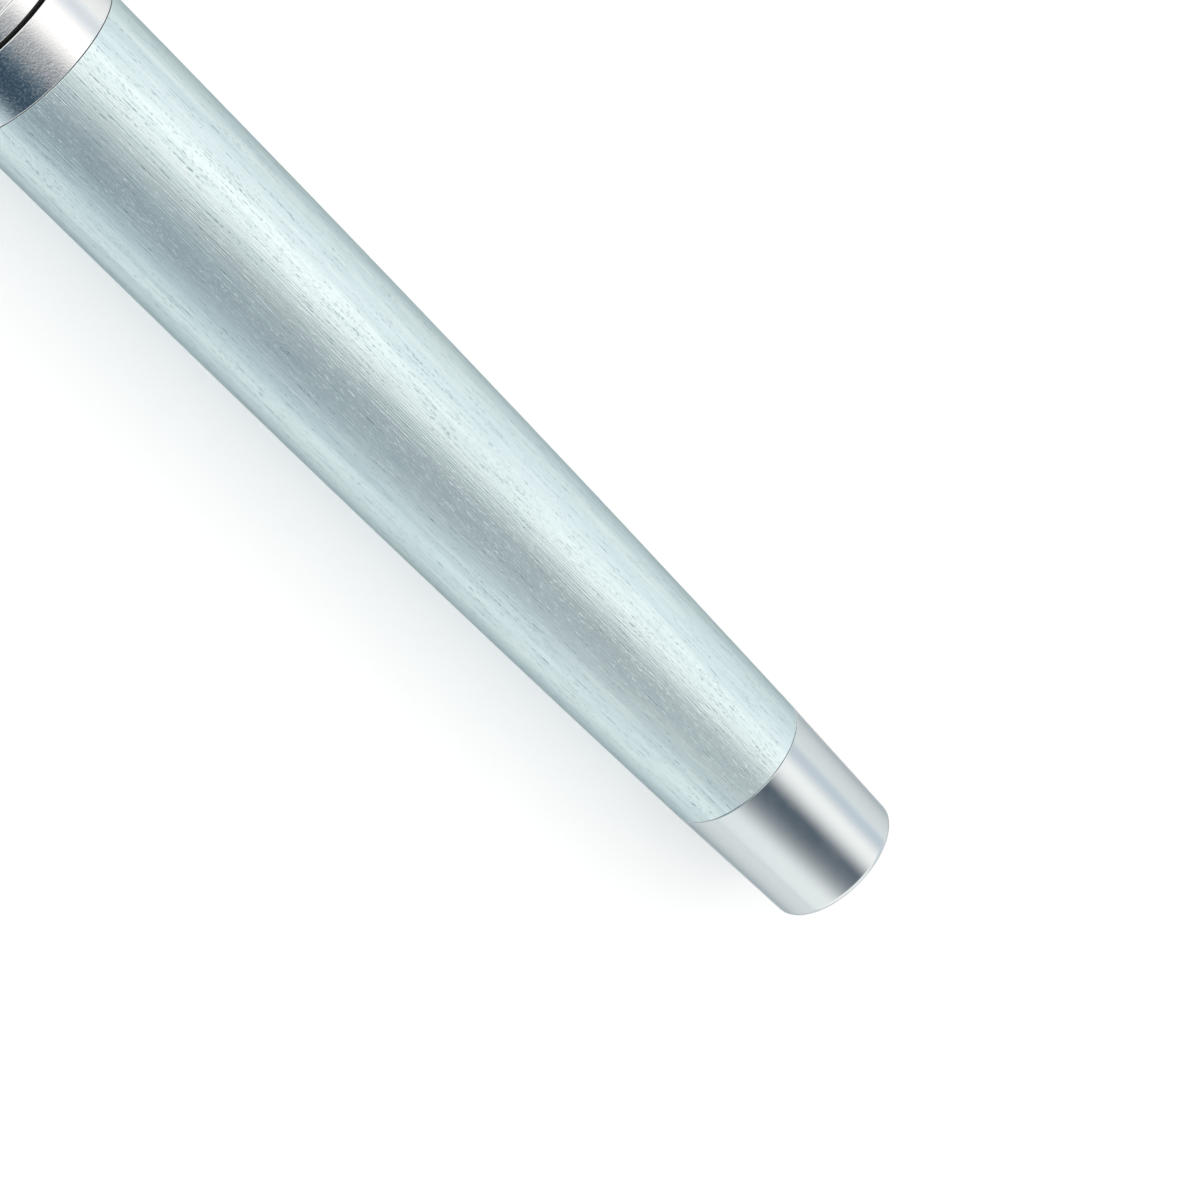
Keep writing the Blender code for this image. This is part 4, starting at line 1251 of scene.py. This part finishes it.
tip, tube_rear, _ = extent("point_tube")
turned_piece("drawing_tube", "nib", "stainless_steel", "point_tube", stainless, [
    (tip, TUBE_RADIUS, WIRE_ROUND),
    (tube_rear, TUBE_RADIUS, 0.0),
    (tube_rear, TUBE_BORE, 0.0),
    (tip, TUBE_BORE, WIRE_ROUND),
], sides=48)

wire_front, wire_back, _ = extent("cleaning_wire")
turned_piece("wire", "weight", "stainless_steel", "cleaning_wire", stainless, [
    (wire_front, 0.0, 0.0),
    (wire_front, WIRE_RADIUS, WIRE_ROUND),
    (wire_back, WIRE_RADIUS, 0.0),
    (wire_back, 0.0, 0.0),
], closed=False, sides=24)

weight_front, weight_back, _ = extent("drop_weight")
weight_radius = CHAMBER_RADIUS - FIT
turned_piece("sliding_weight", "weight", "stainless_steel", "drop_weight", stainless, [
    (weight_front + WIRE_SEAT_DEPTH, 0.0, 0.0),
    (weight_front + WIRE_SEAT_DEPTH, TUBE_RADIUS, 0.0),
    (weight_front, TUBE_RADIUS, FINE_ROUND),
    (weight_front, weight_radius, END_ROUND),
    (weight_back, weight_radius, END_ROUND),
    (weight_back, 0.0, 0.0),
], closed=False, sides=64)

# %% [markdown]
# ## Plug and cartridge
#
# The plug closes the weight's chamber, and its nipple goes into the cartridge's neck. The
# cartridge is a thin closed tube, round at its far end, part full as its wall's tint shows.

# %% Plug and cartridge
CARTRIDGE_RADIUS = 3.15 * MM
CARTRIDGE_WALL = 0.4 * MM
DOME_ROUND = 1.6 * MM
FLANGE_THICKNESS = 0.6 * MM
FLANGE_ROUND = 0.08 * MM
NECK_RADIUS = 2.15 * MM
NIPPLE_RADIUS = 1.9 * MM

plug_front, plug_back, _ = extent("nib_plug")
flange_front = shank_back + FIT
flange_back = flange_front + FLANGE_THICKNESS
turned_piece("point_plug", "nib", "white_plastic", "nib_plug", white_acetal, [
    (plug_front, FEED_RADIUS, 0.0),
    (plug_front, weight_radius, SMALL_ROUND),
    (flange_front, weight_radius, 0.0),
    (flange_front, SHANK_RADIUS, FLANGE_ROUND),
    (flange_back, SHANK_RADIUS, FLANGE_ROUND),
    (flange_back, NIPPLE_RADIUS, FINE_ROUND),
    (plug_back, NIPPLE_RADIUS, END_ROUND),
    (plug_back, FEED_RADIUS, FINE_ROUND),
], sides=96)

neck_end = plug_back + FIT
inner_radius = CARTRIDGE_RADIUS - CARTRIDGE_WALL
turned_piece("cartridge_tube", "cartridge", "clear_plastic", "ink_cartridge", milky_plastic, [
    (cartridge_end - 2.0 * CARTRIDGE_WALL, 0.0, 0.0),
    (cartridge_end - 2.0 * CARTRIDGE_WALL, inner_radius, DOME_ROUND - CARTRIDGE_WALL),
    (neck_end, inner_radius, SOFT_ROUND),
    (neck_end, NECK_RADIUS, 0.0),
    (cartridge_front, NECK_RADIUS, FINE_ROUND),
    (cartridge_front, CARTRIDGE_RADIUS, MOUTH_ROUND),
    (cartridge_end, CARTRIDGE_RADIUS, DOME_ROUND),
    (cartridge_end, 0.0, 0.0),
], closed=False)

# %% [markdown]
# ## Inside the cap
#
# With the cap off, its inner sleeve shows through the mouth. It is a plastic cup that snaps on
# the section, with a rubber ring that closes in the point and a screw through its floor.

# %% Sleeve, seal and screw
SLEEVE_RADIUS = 5.25 * MM
SLEEVE_BORE = 4.85 * MM
COLLAR_BORE = 4.225 * MM
TIP_BORE = 2.2 * MM
SLEEVE_FLOOR = 1.2 * MM
COLLAR_ROOM = 1.0 * MM
SCREW_HOLE = 1.25 * MM
SCREW_RADIUS = 1.0 * MM
SCREW_HEAD_RADIUS = 1.7 * MM
SCREW_HEAD_LENGTH = 1.0 * MM

sleeve_top, sleeve_mouth, _ = extent("cap_inner_sleeve")
chamber_end = sleeve_top + SLEEVE_FLOOR
collar_step = collar_back + COLLAR_ROOM
turned_piece("cap_liner", "cap", "white_plastic", "cap_inner_sleeve", white_acetal, [
    (sleeve_mouth, SLEEVE_BORE, MOUTH_ROUND),
    (sleeve_mouth, SLEEVE_RADIUS, SMALL_ROUND),
    (sleeve_top, SLEEVE_RADIUS, SOFT_ROUND),
    (sleeve_top, SCREW_HOLE, 0.0),
    (chamber_end, SCREW_HOLE, 0.0),
    (chamber_end, TIP_BORE, SMALL_ROUND),
    (cone_tip - FIT, TIP_BORE, SMALL_ROUND),
    (cone_tip - FIT, COLLAR_BORE, SMALL_ROUND),
    (collar_step, COLLAR_BORE, SMALL_ROUND),
    (collar_step, SLEEVE_BORE, FINE_ROUND),
])

cap_seal_front, cap_seal_back, _ = extent("cap_seal")
turned_piece(
    "cap_sealing_ring", "cap", "grey_rubber", "cap_seal", silicone,
    tube(cap_seal_front, cap_seal_back, COLLAR_BORE - FIT, cone_back + FIT, SOFT_ROUND, SOFT_ROUND),
)

screw_end, screw_head, _ = extent("cap_screw")
turned_piece("cap_fixing_screw", "cap", "stainless_steel", "cap_screw", stainless, [
    (screw_end, 0.0, 0.0),
    (screw_end, SCREW_RADIUS, SOFT_ROUND),
    (screw_head - SCREW_HEAD_LENGTH, SCREW_RADIUS, 0.0),
    (screw_head - SCREW_HEAD_LENGTH, SCREW_HEAD_RADIUS, SMALL_ROUND),
    (screw_head, SCREW_HEAD_RADIUS, END_ROUND),
    (screw_head, 0.5 * SCREW_HEAD_RADIUS, FINE_ROUND),
    (screw_head - 0.5 * SCREW_HEAD_LENGTH, 0.5 * SCREW_HEAD_RADIUS, FINE_ROUND),
    (screw_head - 0.5 * SCREW_HEAD_LENGTH, 0.0, 0.0),
], closed=False, sides=64)
